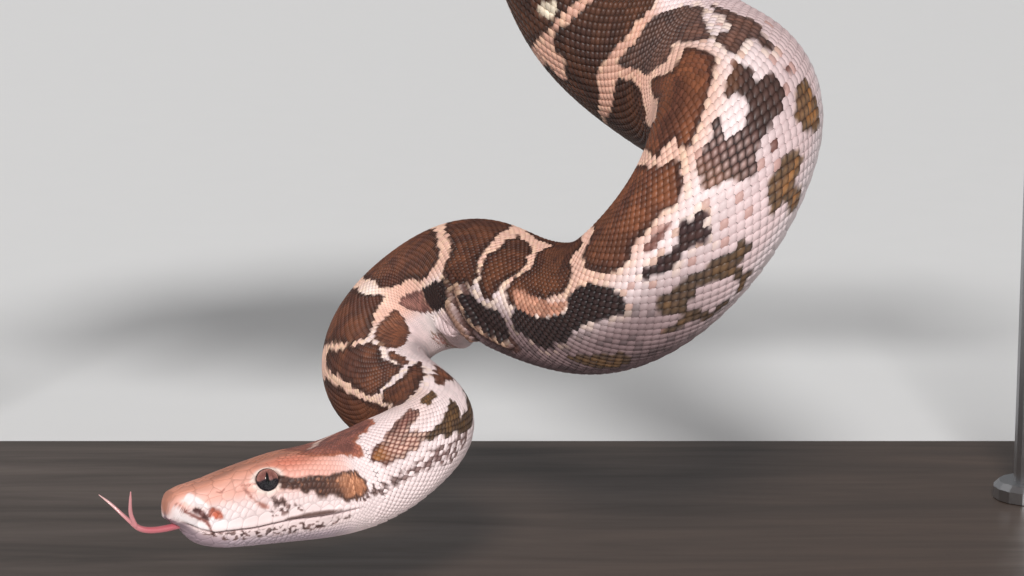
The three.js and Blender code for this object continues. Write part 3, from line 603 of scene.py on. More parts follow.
NECK_MARKS = [
    ("saddle", [(84, 16), (88, 26), (92, 40), (94.5, 54), (97, 67), (99.5, 82), (101.5, 93), (104, 104),
        (106.5, 114), (108, 122), (107.5, 110), (106.5, 98), (105, 88), (104.5, 80), (107, 72), (109, 64),
        (108.5, 56), (107, 50), (104, 44), (101, 38), (97, 25), (92, 0), (88, -30), (86, -50), (72, -50),
        (76, -20), (82, -4)]),
    ("saddle", [(103, 37), (107, 43), (111, 46), (116, 45), (120, 40), (124, 31), (128, 20), (131, 8),
        (134, -5), (136, -20), (138, -50), (100, -50), (97, -20), (99, 10)]),
    ("saddle", [(112, 66), (111, 62), (113, 58), (117, 54), (121, 50), (124.5, 43), (127, 35), (130, 27),
        (133, 15), (136, 4), (138.5, -3), (138.3, 8), (136.5, 20), (135, 32), (134, 42), (132, 52),
        (131, 62), (130.5, 70), (129, 78), (126.5, 86), (123, 90), (119, 91), (114, 98), (110.5, 102),
        (109, 96), (109.5, 88), (109.8, 80), (110.5, 72)]),
    ("brown", [(110, 104), (114, 101), (117, 99), (119.5, 101), (118, 108), (116, 112), (113, 116),
        (110.5, 113), (109.5, 108)]),
    ("check", [(66.5, 68), (66.3, 60), (68, 53), (71.5, 52), (73, 46), (75, 41), (77, 36), (80, 34),
        (82, 34), (81.5, 38), (83.5, 45), (83, 49), (80, 52), (78, 55), (77.5, 60), (79, 66), (80, 72),
        (80.5, 77), (77, 78), (72, 78), (69, 78), (67.5, 74)]),
    ("tan", [(85.5, 46), (87.5, 45), (89, 48), (90.5, 55), (91.5, 62), (92.5, 68), (90, 68), (88, 64),
        (86.5, 58), (85.5, 52)]),
    ("olive", [(79, 77), (82, 77), (86, 80), (89, 83), (90.5, 90), (90, 98), (89, 103), (91, 112),
        (94, 122), (97, 134), (100, 150), (96, 150), (92, 138), (89, 126), (87, 114), (86, 105), (85, 101),
        (83, 95), (82, 88), (80, 82)]),
    ("brown", [(95.5, 86), (98, 90), (100, 98), (101, 108), (102.5, 118), (104.5, 130), (107, 142),
        (108, 150), (103, 150), (101, 140), (99.5, 128), (98.5, 116), (97.5, 105), (96, 96)]),
    ("moss", [(164, 92), (170, 90), (176, 92), (182, 96), (187, 104), (189, 114), (184, 122), (176, 122),
        (168, 116), (164, 106)]),
    ("fleck", [(54, 88), (60, 88), (66, 89), (72, 86), (78, 88), (82, 97), (85, 108), (88, 122), (87, 132),
        (82, 124), (79, 112), (76, 101), (70, 99), (60, 100), (54, 98)]),
]
HEAD_MARKS = [
    ("crown", [(38, -8), (41, 8), (40, 18), (41, 27), (44, 40), (50, 50), (55, 54), (60, 56), (64.5, 59),
        (64.5, 45), (63.5, 38), (66, 33), (69, 28), (72, 20), (72.5, 10), (72, 0), (72.5, -10), (72, -20),
        (69, -28), (66, -33), (63.5, -38), (64.5, -45), (64.5, -59), (60, -56), (55, -54), (50, -50),
        (44, -40), (41, -27), (40, -18), (41, -8)]),
    ("streak", [(42.5, 10), (44.5, 9.5), (48, 5), (51.5, -1), (55, -6), (59, -11), (60, -15), (56.5, -13),
        (52.5, -8.5), (49, -3.5), (45.5, 3)]),
    ("stripe", [(31.3, 58), (33, 62), (34.5, 66), (38, 69), (42, 69), (46, 71), (50, 73), (53.5, 73.5),
        (58, 74), (61, 77), (62, 84), (61, 90), (59, 94), (54, 96), (50, 95.5), (46, 92), (42, 88),
        (38, 85), (35, 81), (32, 77), (31, 71)]),
    ("fleck", [(28, 84), (33, 89), (36, 92), (37.2, 97), (34, 97), (32, 101), (28, 100), (29, 92)]),
    ("line", [(32, 107.5), (35, 103.5), (38, 102), (44, 102), (48, 104), (47, 107.5), (40, 106.5),
        (35, 109)]),
    ("fleck", [(48, 94), (52, 94), (53, 98), (50, 98)]),
    ("white", [(0.4, 71), (1.4, 71.5), (3, 86.5), (4.8, 93.5), (7.6, 97.5), (9.6, 105), (10.6, 113.5),
        (10.2, 117), (8.4, 118.5), (6.2, 119), (4, 116), (2, 108), (0.2, 89.5)]),
    ("white", [(3.2, 58), (4.6, 44), (5.8, 41), (7, 57.5), (8.2, 69), (9.6, 78), (10.4, 84), (9.8, 86),
        (8.4, 84), (7.2, 81), (5.6, 79.5), (4.8, 73.5), (3.8, 66.5)]),
    # painted shade in the grooves of the snout
    ("groove", [(1.6, 61), (2.6, 73), (4, 83.5), (5.4, 88.5), (6.6, 90), (8, 94.5), (9.6, 100), (10.2, 107),
        (10.8, 116), (10.2, 117), (9.4, 107.5), (8.8, 102.5), (7.6, 98), (6, 93.5), (4.6, 90), (3, 85),
        (1.8, 75), (1.2, 65.5)]),
    ("groove", [(9.8, 88.5), (10.2, 86.5), (11.4, 86), (13, 87.5), (13.4, 89.3), (11.4, 89.2), (10.6, 90),
        (10.6, 94.5), (10, 92.5)]),
    ("pit", [(10.4, 89), (11.2, 88), (12.8, 89), (13.8, 90.5), (14.4, 94.5), (14, 98), (12.6, 100),
        (11.2, 98), (10.4, 92.5)]),
    # painted shade in the nostrils
    ("nostril", [(5.2, 83.5), (6.8, 82.5), (7.9, 85), (8.6, 88.5), (7.8, 90), (6.4, 89), (5.6, 87)]),
    ("nostril", [(7.4, 89.5), (8.8, 89), (9.6, 92), (9.8, 97.5), (8.8, 97), (7.8, 92.5)]),
    ("fleck", [(6, 124), (16, 121), (32, 118), (46, 114), (51, 118), (44, 128), (30, 134), (14, 136)]),
    # painted shade in the creases in front of the eye
    ("crease", [(20.4, 59), (20.6, 61), (21.8, 63.5), (23.4, 65), (25.4, 66), (25.4, 64), (23.6, 62.4),
        (21.8, 60.4)]),
    ("crease", [(20.4, 60), (21.4, 67), (22.2, 74.5), (23, 80.5), (24.4, 86.5), (27.6, 90.5), (27.6, 92.5),
        (24, 88.5), (22.5, 82), (21.6, 76), (20.8, 68)]),
    ("crease", [(13, 59), (14.2, 63), (15.4, 60.5), (15.9, 57), (15.4, 54.5), (15, 58), (14, 60),
        (13, 56.5)]),
]
STYLES = {
    # core, second core, rim, glint, and how strongly glints show; the glint lightens each scale's middle,
    # partly its own lighter middle and partly a painted highlight
    "saddle": ((104, 62, 43), (78, 46, 36), (42, 25, 21), (150, 98, 76), 0.2),
    "dark": ((84, 52, 40), (58, 37, 32), (34, 21, 19), (184, 144, 132), 0.4),
    "black": ((58, 35, 31), (40, 25, 25), (26, 17, 18), (136, 96, 92), 0.3),
    "rose": ((146, 98, 86), (118, 76, 68), (92, 58, 52), (206, 160, 150), 0.3),
    "ring": ((80, 49, 43), (42, 27, 24), (30, 19, 18), (232, 190, 180), 0.0),
    "brown": ((122, 74, 52), (98, 60, 46), (66, 40, 32), (170, 118, 94), 0.25),
    "olive": ((84, 58, 36), (42, 29, 25), (30, 21, 19), (184, 144, 104), 0.4),
    "tan": ((140, 88, 48), (58, 37, 28), (32, 21, 18), (214, 168, 116), 0.45),
    "check": ((128, 76, 64), (108, 62, 54), (74, 44, 38), (252, 214, 194), 0.0),
    "fleck": ((88, 60, 56), (70, 50, 48), (96, 68, 62), (120, 90, 84), 0.1),
    "pale": ((232, 214, 190), (228, 206, 190), (232, 214, 190), (240, 228, 210), 0.1),
    "gold": ((200, 142, 116), (168, 112, 90), (176, 120, 98), (226, 182, 160), 0.25),
    "crown": ((152, 92, 78), (122, 76, 68), (166, 100, 76), (176, 124, 108), 0.15),
    "streak": ((226, 204, 194), (222, 200, 192), (196, 160, 146), (232, 214, 206), 0.1),
    "stripe": ((74, 45, 36), (156, 104, 78), (54, 34, 29), (160, 112, 84), 0.1),
    "line": ((84, 58, 54), (74, 52, 52), (110, 84, 78), (120, 96, 92), 0.1),
    "pit": ((200, 104, 74), (200, 104, 74), (176, 90, 70), (214, 130, 100), 0.1),
    # painted shade: the nostril's dark, and the darker creases and grooves of the head
    "nostril": ((58, 32, 32), (58, 32, 32), (92, 54, 50), (70, 40, 40), 0.0),
    "crease": ((150, 92, 82), (150, 92, 82), (180, 122, 108), (190, 140, 130), 0.0),
    "groove": ((112, 64, 58), (112, 64, 58), (146, 88, 78), (150, 100, 92), 0.0),
    "white": ((244, 230, 229), (242, 224, 222), (240, 222, 218), (246, 232, 230), 0.0),
    "moss": ((142, 120, 88), (196, 134, 122), (150, 122, 104), (196, 160, 140), 0.1),
}
# marks whose second core shows as single scales: (from, to) of the chance at which it does
SPECKLED = {"olive": (0.72, 0.86), "black": (0.72, 0.86), "tan": (0.56, 0.74), "ring": (0.56, 0.74)}
SHARP_MARKS = ("crease", "groove", "white", "nostril", "line", "streak")
DARK_MARKS = ("saddle", "dark", "black")
DARK_MARK_GROWTH = 0.45
CREAM, CROWN_BASE, WHITE_FLANK = (238, 192, 173), (220, 150, 126), (244, 222, 220)
TONES = {
    # painted shade in the groove between the lips
    "mouth": (96, 60, 62),
    "eye ring": (250, 228, 216),
    "painted shade in the eye socket": (40, 26, 24),
    "loose skin": (255, 244, 240),
    "painted shade in the fold groove": (84, 56, 49),
    "fold crest": (146, 112, 96),
    "rosy scale": (164, 112, 98),
    "mark border": (238, 208, 172),
    "saddle flank": (132, 78, 48),
    "stripe dark": (164, 100, 66),
    "stripe light": (206, 146, 112),
    "check front": (150, 98, 58),
    "ring right": (56, 36, 30),
    "ring top": (138, 86, 52),
    "ring left": (150, 98, 60),
}
FAR_SIDE, FAR_SIDE_SHIFT = -45.0, 13.0
LAST_MARK = 446.0
PATTERN_PERIOD = 1.32


def inside_distance(x, y, outline):
    """Distance to a closed outline, negative inside: the least distance to its edges, signed by counting
    crossings."""
    best = np.full(x.shape, 1e18)
    odd = np.zeros(x.shape, bool)
    for (ax, ay), (bx, by) in zip(outline, np.roll(outline, -1, 0)):
        ex, ey = bx - ax, by - ay
        px, py = x - ax, y - ay
        t = np.clip((px * ex + py * ey) / (ex * ex + ey * ey + 1e-12), 0, 1)
        best = np.minimum(best, (px - t * ex) ** 2 + (py - t * ey) ** 2)
        cross = (ay > y) != (by > y)
        with np.errstate(divide="ignore", invalid="ignore"):
            odd ^= cross & (x < ax + ex * (y - ay) / (by - ay))
    return np.where(odd, -1, 1) * np.sqrt(best)


def mix(a, b, t):
    """Colour a and colour b in shares 1 - t and t."""
    t = np.asarray(t, float)[..., None]
    return np.asarray(a, float) * (1 - t) + np.asarray(b, float) * t


def ramps(along=(), around=()):
    """A tint's cover: the product of ramps over distance along and over degrees from the back on either
    side. A ramp falls where its first end is the greater one."""

    def cover(al, deg):
        value = np.ones(al.shape)
        for ends in along:
            value = value * smooth(al, *ends)
        for ends in around:
            value = value * smooth(np.abs(deg), *ends)
        return value

    return cover


def spot(along, reach, degrees, spread, both_sides=True):
    """A tint's cover: a bell over distance along times a bell over degrees from the back."""

    def cover(al, deg):
        return bell(al, along, reach) * bell(np.abs(deg) if both_sides else deg, degrees, spread)

    return cover


# tints of the ground colour in the order in which they are mixed: (colour, strength, cover)
BODY_TINTS = {
    "white flank": (WHITE_FLANK, 1.0, ramps(around=[(48, 72)])),
    # the lilac's greyer tone is partly painted shade
    "lilac flank with painted shade": ((216, 190, 189), 1.0, ramps([(150, 215)], [(78, 104)])),
    "belly": ((216, 198, 198), 1.0, ramps(around=[(128, 142)])),
    # painted shade on the lower flank, on the underside and deep in the fold, then a painted highlight on the
    # back of the neck
    "shaded flank of the fold": ((98, 76, 77), 0.78, ramps([(208, 222), (300, 262)], [(66, 98)])),
    "painted shade on the underside of the fold": ((70, 54, 56), 0.5, ramps([(214, 232), (284, 258)], [(108, 124)])),
    "painted shade deep in the fold": ((84, 64, 64), 0.5, spot(228, 8, 114, 12)),
    "painted highlight on the back of the neck": ((255, 240, 232), 0.8, spot(157, 6, 6, 22, both_sides=False)),
    "tan back": ((196, 138, 114), 0.4, ramps([(345, 372)], [(80, 50)])),
}
HEAD_TINTS = {
    "rose side": ((236, 176, 160), 1.0, ramps(around=[(24, 60)])),
    "white lip": ((240, 216, 213), 1.0, ramps(around=[(70, 92)])),
    "lilac chin": ((182, 162, 170), 1.0, ramps(around=[(120, 146)])),
    "bright lip": ((252, 240, 240), 0.8, spot(11, 7, 100, 13)),
    "coral behind the eye": ((214, 124, 102), 0.8, spot(35.5, 7.5, 34, 20)),
    "pink band": ((246, 188, 174), 0.7, ramps([(40, 50)], [(34, 46), (80, 62)])),
    "white snout": ((238, 220, 214), 0.7, spot(6.5, 2.4, 70, 15)),
    "rose snout": ((226, 168, 150), 0.5, spot(17, 9, 50, 20)),
    "brown crown": ((160, 104, 80), 0.45, ramps([(8, 20)], [(26, 4)])),
    # painted shade under the front of the chin
    "painted shade under the chin": ((138, 112, 120), 0.5, ramps([(20, 9)], [(122, 134)])),
}


def tinted(base, tints, al, deg):
    """A base colour with each tint mixed in, in order, by its strength times its cover."""
    tone = np.asarray(base, float)
    for colour, strength, cover in tints.values():
        tone = mix(tone, colour, strength * cover(al, deg))
    return tone


class Markings:
    """The snake's colours as one function of distance along and angle, used by skin and scales alike."""

    def __init__(self):
        self.spread_along = np.arange(0, SNAKE_LENGTH + 1)
        self.spread = np.cumsum(1 / np.maximum(half_width(self.spread_along), 6))
        self.jitter = np.random.default_rng(11).random((220, 12))

    def ground(self, al, deg):
        """The pale colour between marks: cream on the back, pinkish white to lilac on the flanks, white
        below. The head's and the neck's pass into it, with a dark line between the lips and round the
        eye."""
        body, head = tinted(CREAM, BODY_TINTS, al, deg), tinted(CROWN_BASE, HEAD_TINTS, al, deg)
        d = np.abs(deg)
        above = section(al, np.radians(deg))[1] - np.interp(al, LIP_LINE[:, 0], LIP_LINE[:, 1])
        # painted shade: a dark line along the groove between the lips
        mouth = bell(above, 0, 0.3) * (d > 60) * smooth(al, 2, 5) * smooth(al, 57, 52)
        head = mix(head, TONES["mouth"], 0.8 * mouth)
        neck = mix(head, WHITE_FLANK, smooth(al, 44, 60))
        ring = np.hypot(al - EYE["along"], (d - EYE_DEGREES) * np.radians(EYE_REACH))
        neck = mix(neck, TONES["eye ring"], bell(ring, 4.2, 0.85))
        # painted shade in the eye's socket, round the eyeball
        neck = mix(neck, TONES["painted shade in the eye socket"], smooth(ring, 3.35, 3.1))
        return mix(neck, body, smooth(al, 66, 130))

    def pattern(self, al, deg):
        """Distances to the marks of the rest of the body: a row of broad saddles over the back, a row of
        blotches on each flank and small ones below. Each is a rounded box in (spread, angle), |x| ** p +
        |y| ** p = 1, with its own offset and size, and its outline wanders with noise."""
        u = np.interp(al, self.spread_along, self.spread) / PATTERN_PERIOD
        warp = (lattice_noise(u * 3.1, deg / 17, 5) - 0.5) * 0.35
        k0 = np.floor(u).astype(int)
        size = 0.5 * PATTERN_PERIOD * np.maximum(half_width(al), 1)
        back, flank, low = (np.full(al.shape, 9.0) for _ in range(3))
        left = (deg >= 0)[..., None]
        d = np.abs(deg)

        def box(x, half, y, spread, power):
            return (np.abs(x / half) ** power + np.abs(y / spread) ** power) ** (1 / power) - 1

        for step in (-1, 0, 1):
            k = np.clip(k0 + step, 0, len(self.jitter) - 1)
            r = self.jitter[k]
            x, y = u - k - 0.5 - 0.22 * (r[..., 0] - 0.5), deg - 26 * (r[..., 2] - 0.5)
            back = np.minimum(back, box(x, 0.39 + 0.08 * r[..., 1], y, 50 + 18 * r[..., 3], 2.6) + warp)
            r = np.where(left, r[..., 8:12], r[..., 4:8])
            x, y = u - k - 0.1 - 0.4 * r[..., 0], d - 92 - 10 * r[..., 2]
            own = box(x, 0.24 + 0.12 * r[..., 1], y, 17 + 9 * r[..., 3], 2.2)
            flank = np.minimum(flank, own + 1.4 * warp)
            x, y = u - k - 0.7 + 0.4 * r[..., 2], d - 126
            low = np.minimum(low, box(x, 0.17, y, 9 + 5 * r[..., 1], 2) + 1.4 * warp)
        return [("saddle", back * size * 0.8), ("dark", flank * size * 0.5), ("tan", low * size * 0.3)]

    def marks(self, al, deg):
        """(kind, distance in mm) for every mark near the points. Noise roughens each outline, least on
        sharp marks."""
        arc = np.radians(skin_reach(al))
        far = deg < FAR_SIDE
        for kind, outline, start, repeat in self.outlines():
            line = np.array(outline, float) + [start, 0]
            x = al + FAR_SIDE_SHIFT * far if repeat == "shifted" else al
            angle = np.where(far, -deg, deg) if repeat else deg
            near = (x > line[:, 0].min() - 3) & (x < line[:, 0].max() + 3)
            near &= (angle > line[:, 1].min() - 14) & (angle < line[:, 1].max() + 14)
            if not near.any():
                continue
            middle = float(np.median(arc[near]))
            d = np.full(al.shape, 99.0)
            d[near] = inside_distance(x[near], angle[near] * middle, line * [1, middle])
            grain = 0.5 if kind in SHARP_MARKS else 1.5
            d += grain * (lattice_noise(al / 1.6, deg * arc / 1.6, 17) - 0.5)
            yield kind, d - (DARK_MARK_GROWTH if kind in DARK_MARKS and al.max() > 75 else 0.0)
        rest = al > LAST_MARK - 6
        if rest.any():
            for kind, value in self.pattern(al[rest], deg[rest]):
                d = np.full(al.shape, 99.0)
                d[rest] = np.where(al[rest] > LAST_MARK + 1, value, 99.0)
                yield kind, d

    def outlines(self):
        """Each mark's kind, outline and start along, and how the far flank repeats it."""
        for outline in SADDLES:
            yield "saddle", outline, TRUNK_MARK_START, ""
        for kind, outline in FLANK_MARKS:
            yield kind, outline, TRUNK_MARK_START, "shifted"
        for kind, outline in NECK_MARKS:
            yield kind, outline, 0.0, "" if kind == "saddle" else "shifted"
        for kind, outline in HEAD_MARKS:
            yield kind, outline, 0.0, "" if kind in ("crown", "streak") else "mirrored"

    def mark_tone(self, kind, al, deg, d, chance, glint, mottle, fine):
        """The colour inside a mark: its two cores mixed by noise, its rim towards its outline, then what
        its kind adds, and the glints of its scales."""
        core, cool, rim, bright, shine = STYLES[kind]
        away, deep = np.abs(deg), -d
        if kind in SPECKLED:
            second = smooth(chance + 0.5 * mottle, *SPECKLED[kind])
        elif kind == "stripe":
            second = smooth(fine - 0.14 * smooth(al, 48, 36), 0.56, 0.7)
        else:
            second = smooth(mottle, 0.3, 0.75)
        own = mix(core, cool, second)
        own = mix(own, rim, smooth(d, -1.9, -0.4) * (0.35 if kind == "stripe" else 0.8))
        if kind == "saddle":
            low = smooth(away, 24, 42) * smooth(deep, 1.4, 3.4) * smooth(al, 130, 260)
            own = mix(own, TONES["saddle flank"], 0.4 * low)
        elif kind == "stripe":
            amber = mix(TONES["stripe dark"], TONES["stripe light"], chance)
            own = mix(own, amber, smooth(al, 42, 54) * smooth(deep, 0.2, 1.2))
        elif kind == "check":
            front = smooth(al, 73, 68)
            own = mix(own, TONES["check front"], front * smooth(deep, 0.3, 1.4))
            dots = (0.4 + 0.4 * smooth(away, 42, 56)) * smooth(glint, 0.3, 0.9)
            own = mix(own, bright, dots * (1 - front))
        elif kind == "ring":
            low = smooth(away, 67, 75)
            own = mix(own, TONES["ring right"], 0.7 * smooth(al, 313, 319) * low)
            own = mix(own, TONES["ring top"], 0.5 * smooth(al, 318, 323) * (1 - low))
            own = mix(own, TONES["ring left"], 0.4 * smooth(al, 309, 304))
            # painted highlights on the ring's scales, stronger towards its front
            own = mix(own, bright, (0.2 + 0.45 * smooth(al, 317, 311)) * smooth(glint, 0.25, 0.95))
        if kind in DARK_MARKS:
            # painted shade: dark marks darker from 342 to 372 mm; painted light: saddles lighter from 276 to
            # 350 mm; painted shade: black marks darker before 270 mm. Dark marks are also a little darker
            # from 184 to 276 mm.
            shade = 1 - 0.32 * smooth(al, 342, 372) - 0.1 * smooth(al, 184, 200) * smooth(al, 276, 262)
            if kind == "saddle":
                shade = shade * (1 + 0.14 * smooth(al, 276, 290) * smooth(al, 350, 340))
            if kind == "black":
                shade = shade * (0.62 + 0.38 * smooth(al, 270, 280))
            own = own * shade[..., None]
        # the glint colour towards each scale's middle: partly its lighter middle, partly a painted highlight
        own = mix(own, bright, shine * glint)
        return own * (0.88 + 0.24 * chance)[..., None]

    def colour(self, al, deg, soft, chance, glint=0.0):
        """sRGB colours. soft is the width of a mark's edge in mm, chance a random number for each point,
        and glint how far a point is towards the bright middle of its scale."""
        al, deg, chance, glint = (np.array(v, float) for v in np.broadcast_arrays(al, deg, chance, glint))
        away = np.abs(deg)
        mottle = lattice_noise(al / 4.5, deg / 9, 3)
        fine = lattice_noise(al / 0.75, np.radians(deg) * skin_reach(al) / 0.75, 7)
        # the loose skin of the bend: pale skin, brightened further as painted light
        tone = mix(self.ground(al, deg), TONES["loose skin"], 0.85 * bell(al, 180, 15) * bell(deg, 90, 19))
        near = (al > 180) & (al < 240) & (deg > 60) & (deg < 140)
        if near.any():
            for line in FOLDS[:2]:
                gap = arc_distance(al[near], deg[near], line)
                # painted shade in the groove beside each fold
                groove = smooth(gap, 1.2, 2.2) * smooth(gap, 5.0, 3.2)
                own = mix(tone[near], TONES["painted shade in the fold groove"], 0.9 * groove)
                tone[near] = mix(own, TONES["fold crest"], smooth(gap, 1.6, 0.8))
        tone = tone * (0.95 + 0.07 * mottle + 0.05 * (chance - 0.5))[..., None]
        speckle = (away > 84) & (al > 214) & (al < 286) & (chance > 0.8)
        tone = np.where(speckle[..., None], tone * 0.78, tone)
        rosy = (chance > 0.93) & (al > 270) & (al < 345) & (away > 56) & (away < 112)
        tone = mix(tone, TONES["rosy scale"], 0.5 * rosy)
        for kind, d in self.marks(al, deg):
            cover = smooth(d, soft, -soft)
            if kind in ("fleck", "moss"):
                sparse = 0.1 * (al <= NECK_START)
                cover = cover * smooth(fine, 0.4 + sparse, 0.54 + sparse) * (1 - 0.3 * glint)
            if kind in DARK_MARKS:
                edge = smooth(d, -0.2, 0.4) * smooth(d, 2.2, 0.9) * (away < 118)
                tone = mix(tone, TONES["mark border"], 0.3 * edge * (chance > 0.45))
            tone = mix(tone, self.mark_tone(kind, al, deg, d, chance, glint, mottle, fine), cover)
        return tone


def linear(srgb):
    """sRGB 0 to 255 as linear colour with a full fourth channel."""
    c = np.clip(np.asarray(srgb, float) / 255, 0, 1)
    rgb = np.where(c <= 0.04045, c / 12.92, ((c + 0.055) / 1.055) ** 2.4)
    return np.concatenate([rgb, np.ones(rgb.shape[:-1] + (1,))], -1)


# ---------------------------------------------------------------- meshes
def grid_faces(rows, columns, closed=False):
    """Four-sided faces of a grid of rows by columns, the first step going across a row."""
    i = np.arange(rows - 1)[:, None]
    j = np.arange(columns if closed else columns - 1)[None]
    k = (j + 1) % columns
    a, b = i * columns + j, i * columns + k
    return np.stack([a, b, b + columns, a + columns], -1).reshape(-1, 4)


def repeat_faces(faces, count, size):
    """The faces of one shape of size points, repeated for count shapes laid one after another."""
    faces = np.asarray(faces)
    return (faces[None] + (np.arange(count) * size)[:, None, None]).reshape(-1, faces.shape[1])


def make_mesh(name, points, groups, material, colours=None, uv=None, smooth_shading=True):
    """A mesh object at the origin from points in mm and lists of equal-sided faces."""
    points = np.asarray(points, float).reshape(-1, 3) * MM
    groups = [np.asarray(g, int) for g in groups if len(g)]
    corners = np.concatenate([g.ravel() for g in groups])
    sizes = np.concatenate([np.full(len(g), g.shape[1]) for g in groups])
    mesh = bpy.data.meshes.new(name)
    mesh.vertices.add(len(points))
    mesh.vertices.foreach_set("co", points.astype(np.float32).ravel())
    mesh.loops.add(len(corners))
    mesh.loops.foreach_set("vertex_index", corners.astype(np.int32))
    mesh.polygons.add(len(sizes))
    mesh.polygons.foreach_set("loop_start", (np.cumsum(sizes) - sizes).astype(np.int32))
    mesh.polygons.foreach_set("use_smooth", np.full(len(sizes), smooth_shading))
    mesh.update(calc_edges=True)
    if colours is not None:
        layer = mesh.attributes.new("markings", "FLOAT_COLOR", "POINT")
        layer.data.foreach_set("color", linear(colours).astype(np.float32).ravel())
    if uv is not None:
        layer = mesh.uv_layers.new(name="OFBake")
        layer.uv.foreach_set("vector", uv.reshape(-1, 2)[corners].astype(np.float32).ravel())
    mesh.validate()
    mesh.materials.append(material)
    made = bpy.data.objects.new(name, mesh)
    bpy.context.scene.collection.objects.link(made)
    return made


def fan(point, ring):
    """Triangles from one point to each edge of a closed ring of points, in the ring's order."""
    return np.stack([np.full(len(ring), point), ring, np.roll(ring, -1)], 1)


def capped(rings, first, last):
    """Points and faces of rings in a row, closed by a point at each end."""
    n, sides = rings.shape[:2]
    points = np.concatenate([rings.reshape(-1, 3), [first], [last]])
    j = np.arange(sides)
    ends = np.concatenate([fan(n * sides, j), fan(n * sides + 1, (n - 1) * sides + j[::-1])])
    return points, [grid_faces(n, sides, True)[:, ::-1], ends]


def tube(centres, radii, sides, up=(0.0, 0.0, 1.0), squash=1.0):
    """A closed tube: circles of the given radii carried along centres, flattened by squash, with a point
    at each end."""
    tangent = unit(np.gradient(centres, axis=0))
    side = unit(np.cross(tangent, np.asarray(up)))
    over = np.cross(side, tangent)
    turn = np.linspace(0, 2 * np.pi, sides, endpoint=False)[:, None]
    ring = side[:, None] * np.cos(turn) + over[:, None] * np.sin(turn) * squash
    return capped(centres[:, None] + ring * radii[:, None, None], centres[0], centres[-1])


def joined(parts):
    """Several parts as one, each given as columns such as points and colours, with its list of faces
    last. Faces are counted on from part to part."""
    starts = np.cumsum([0] + [len(part[0]) for part in parts])
    faces = [group + start for part, start in zip(parts, starts) for group in part[-1]]
    return [np.concatenate(column) for column in list(zip(*parts))[:-1]] + [faces]


# ---------------------------------------------------------------- materials
def node(tree, kind, **values):
    """A shader node with its settings, and its inputs by name or number where the name starts with in_."""
    made = tree.nodes.new(kind)
    for key, value in values.items():
        if key.startswith("in_"):
            label = key[3:].replace("_", " ")
            made.inputs[int(label) if label.isdigit() else label].default_value = value
        else:
            setattr(made, key, value)
    return made


def wire(tree, *links):
    """Joins nodes, each link given as (node, output, node, input)."""
    for source, output, target, entry in links:
        tree.links.new(source.outputs[output], target.inputs[entry])


def shader_group(name, inputs, outputs):
    """An empty shader node group with named inputs (type, default) and outputs (type)."""
    group = bpy.data.node_groups.new(name, "ShaderNodeTree")
    for label, (kind, default) in inputs.items():
        socket = group.interface.new_socket(name=label, in_out="INPUT", socket_type=kind)
        socket.default_value = default
    for label, kind in outputs.items():
        group.interface.new_socket(name=label, in_out="OUTPUT", socket_type=kind)
    return group, group.nodes.new("NodeGroupInput"), group.nodes.new("NodeGroupOutput")


# the colour sockets of a mix node
COLOR_A, COLOR_B, COLOR_OUT = 6, 7, 2
TONE_OUTPUTS = {"Color": "NodeSocketColor", "Roughness": "NodeSocketFloat", "Height": "NodeSocketFloat"}


def skin_tone_group():
    """Colour, roughness and height of scaly skin: the marking's colour times Shade and a faint clouding,
    and fine pores that roughen it from Gloss upwards."""
    inputs = {
        "Marking": ("NodeSocketColor", (0.8, 0.7, 0.65, 1)),
        "Shade": ("NodeSocketFloat", 1.0),
        "Gloss": ("NodeSocketFloat", 0.4),
    }
    group, start, end = shader_group("Skin tone", inputs, TONE_OUTPUTS)
    place = node(group, "ShaderNodeTexCoord")
    cloud = node(group, "ShaderNodeTexNoise", in_Scale=180.0, in_Detail=3.0)
    pores = node(group, "ShaderNodeTexNoise", in_Scale=2600.0, in_Detail=2.0)
    lift = node(group, "ShaderNodeMapRange", in_To_Min=0.9, in_To_Max=1.08)
    amount = node(group, "ShaderNodeMath", operation="MULTIPLY")
    tone = node(group, "ShaderNodeVectorMath", operation="SCALE")
    more = node(group, "ShaderNodeMath", operation="ADD", in_1=0.16)
    rough = node(group, "ShaderNodeMapRange")
    wire(
        group,
        (place, "Object", cloud, "Vector"),
        (place, "Object", pores, "Vector"),
        (cloud, "Fac", lift, "Value"),
        (lift, "Result", amount, 0),
        (start, "Shade", amount, 1),
        (start, "Marking", tone, 0),
        (amount, 0, tone, "Scale"),
        (pores, "Fac", rough, "Value"),
        (start, "Gloss", rough, "To Min"),
        (start, "Gloss", more, 0),
        (more, 0, rough, "To Max"),
        (tone, "Vector", end, "Color"),
        (rough, "Result", end, "Roughness"),
        (pores, "Fac", end, "Height"),
    )
    return group


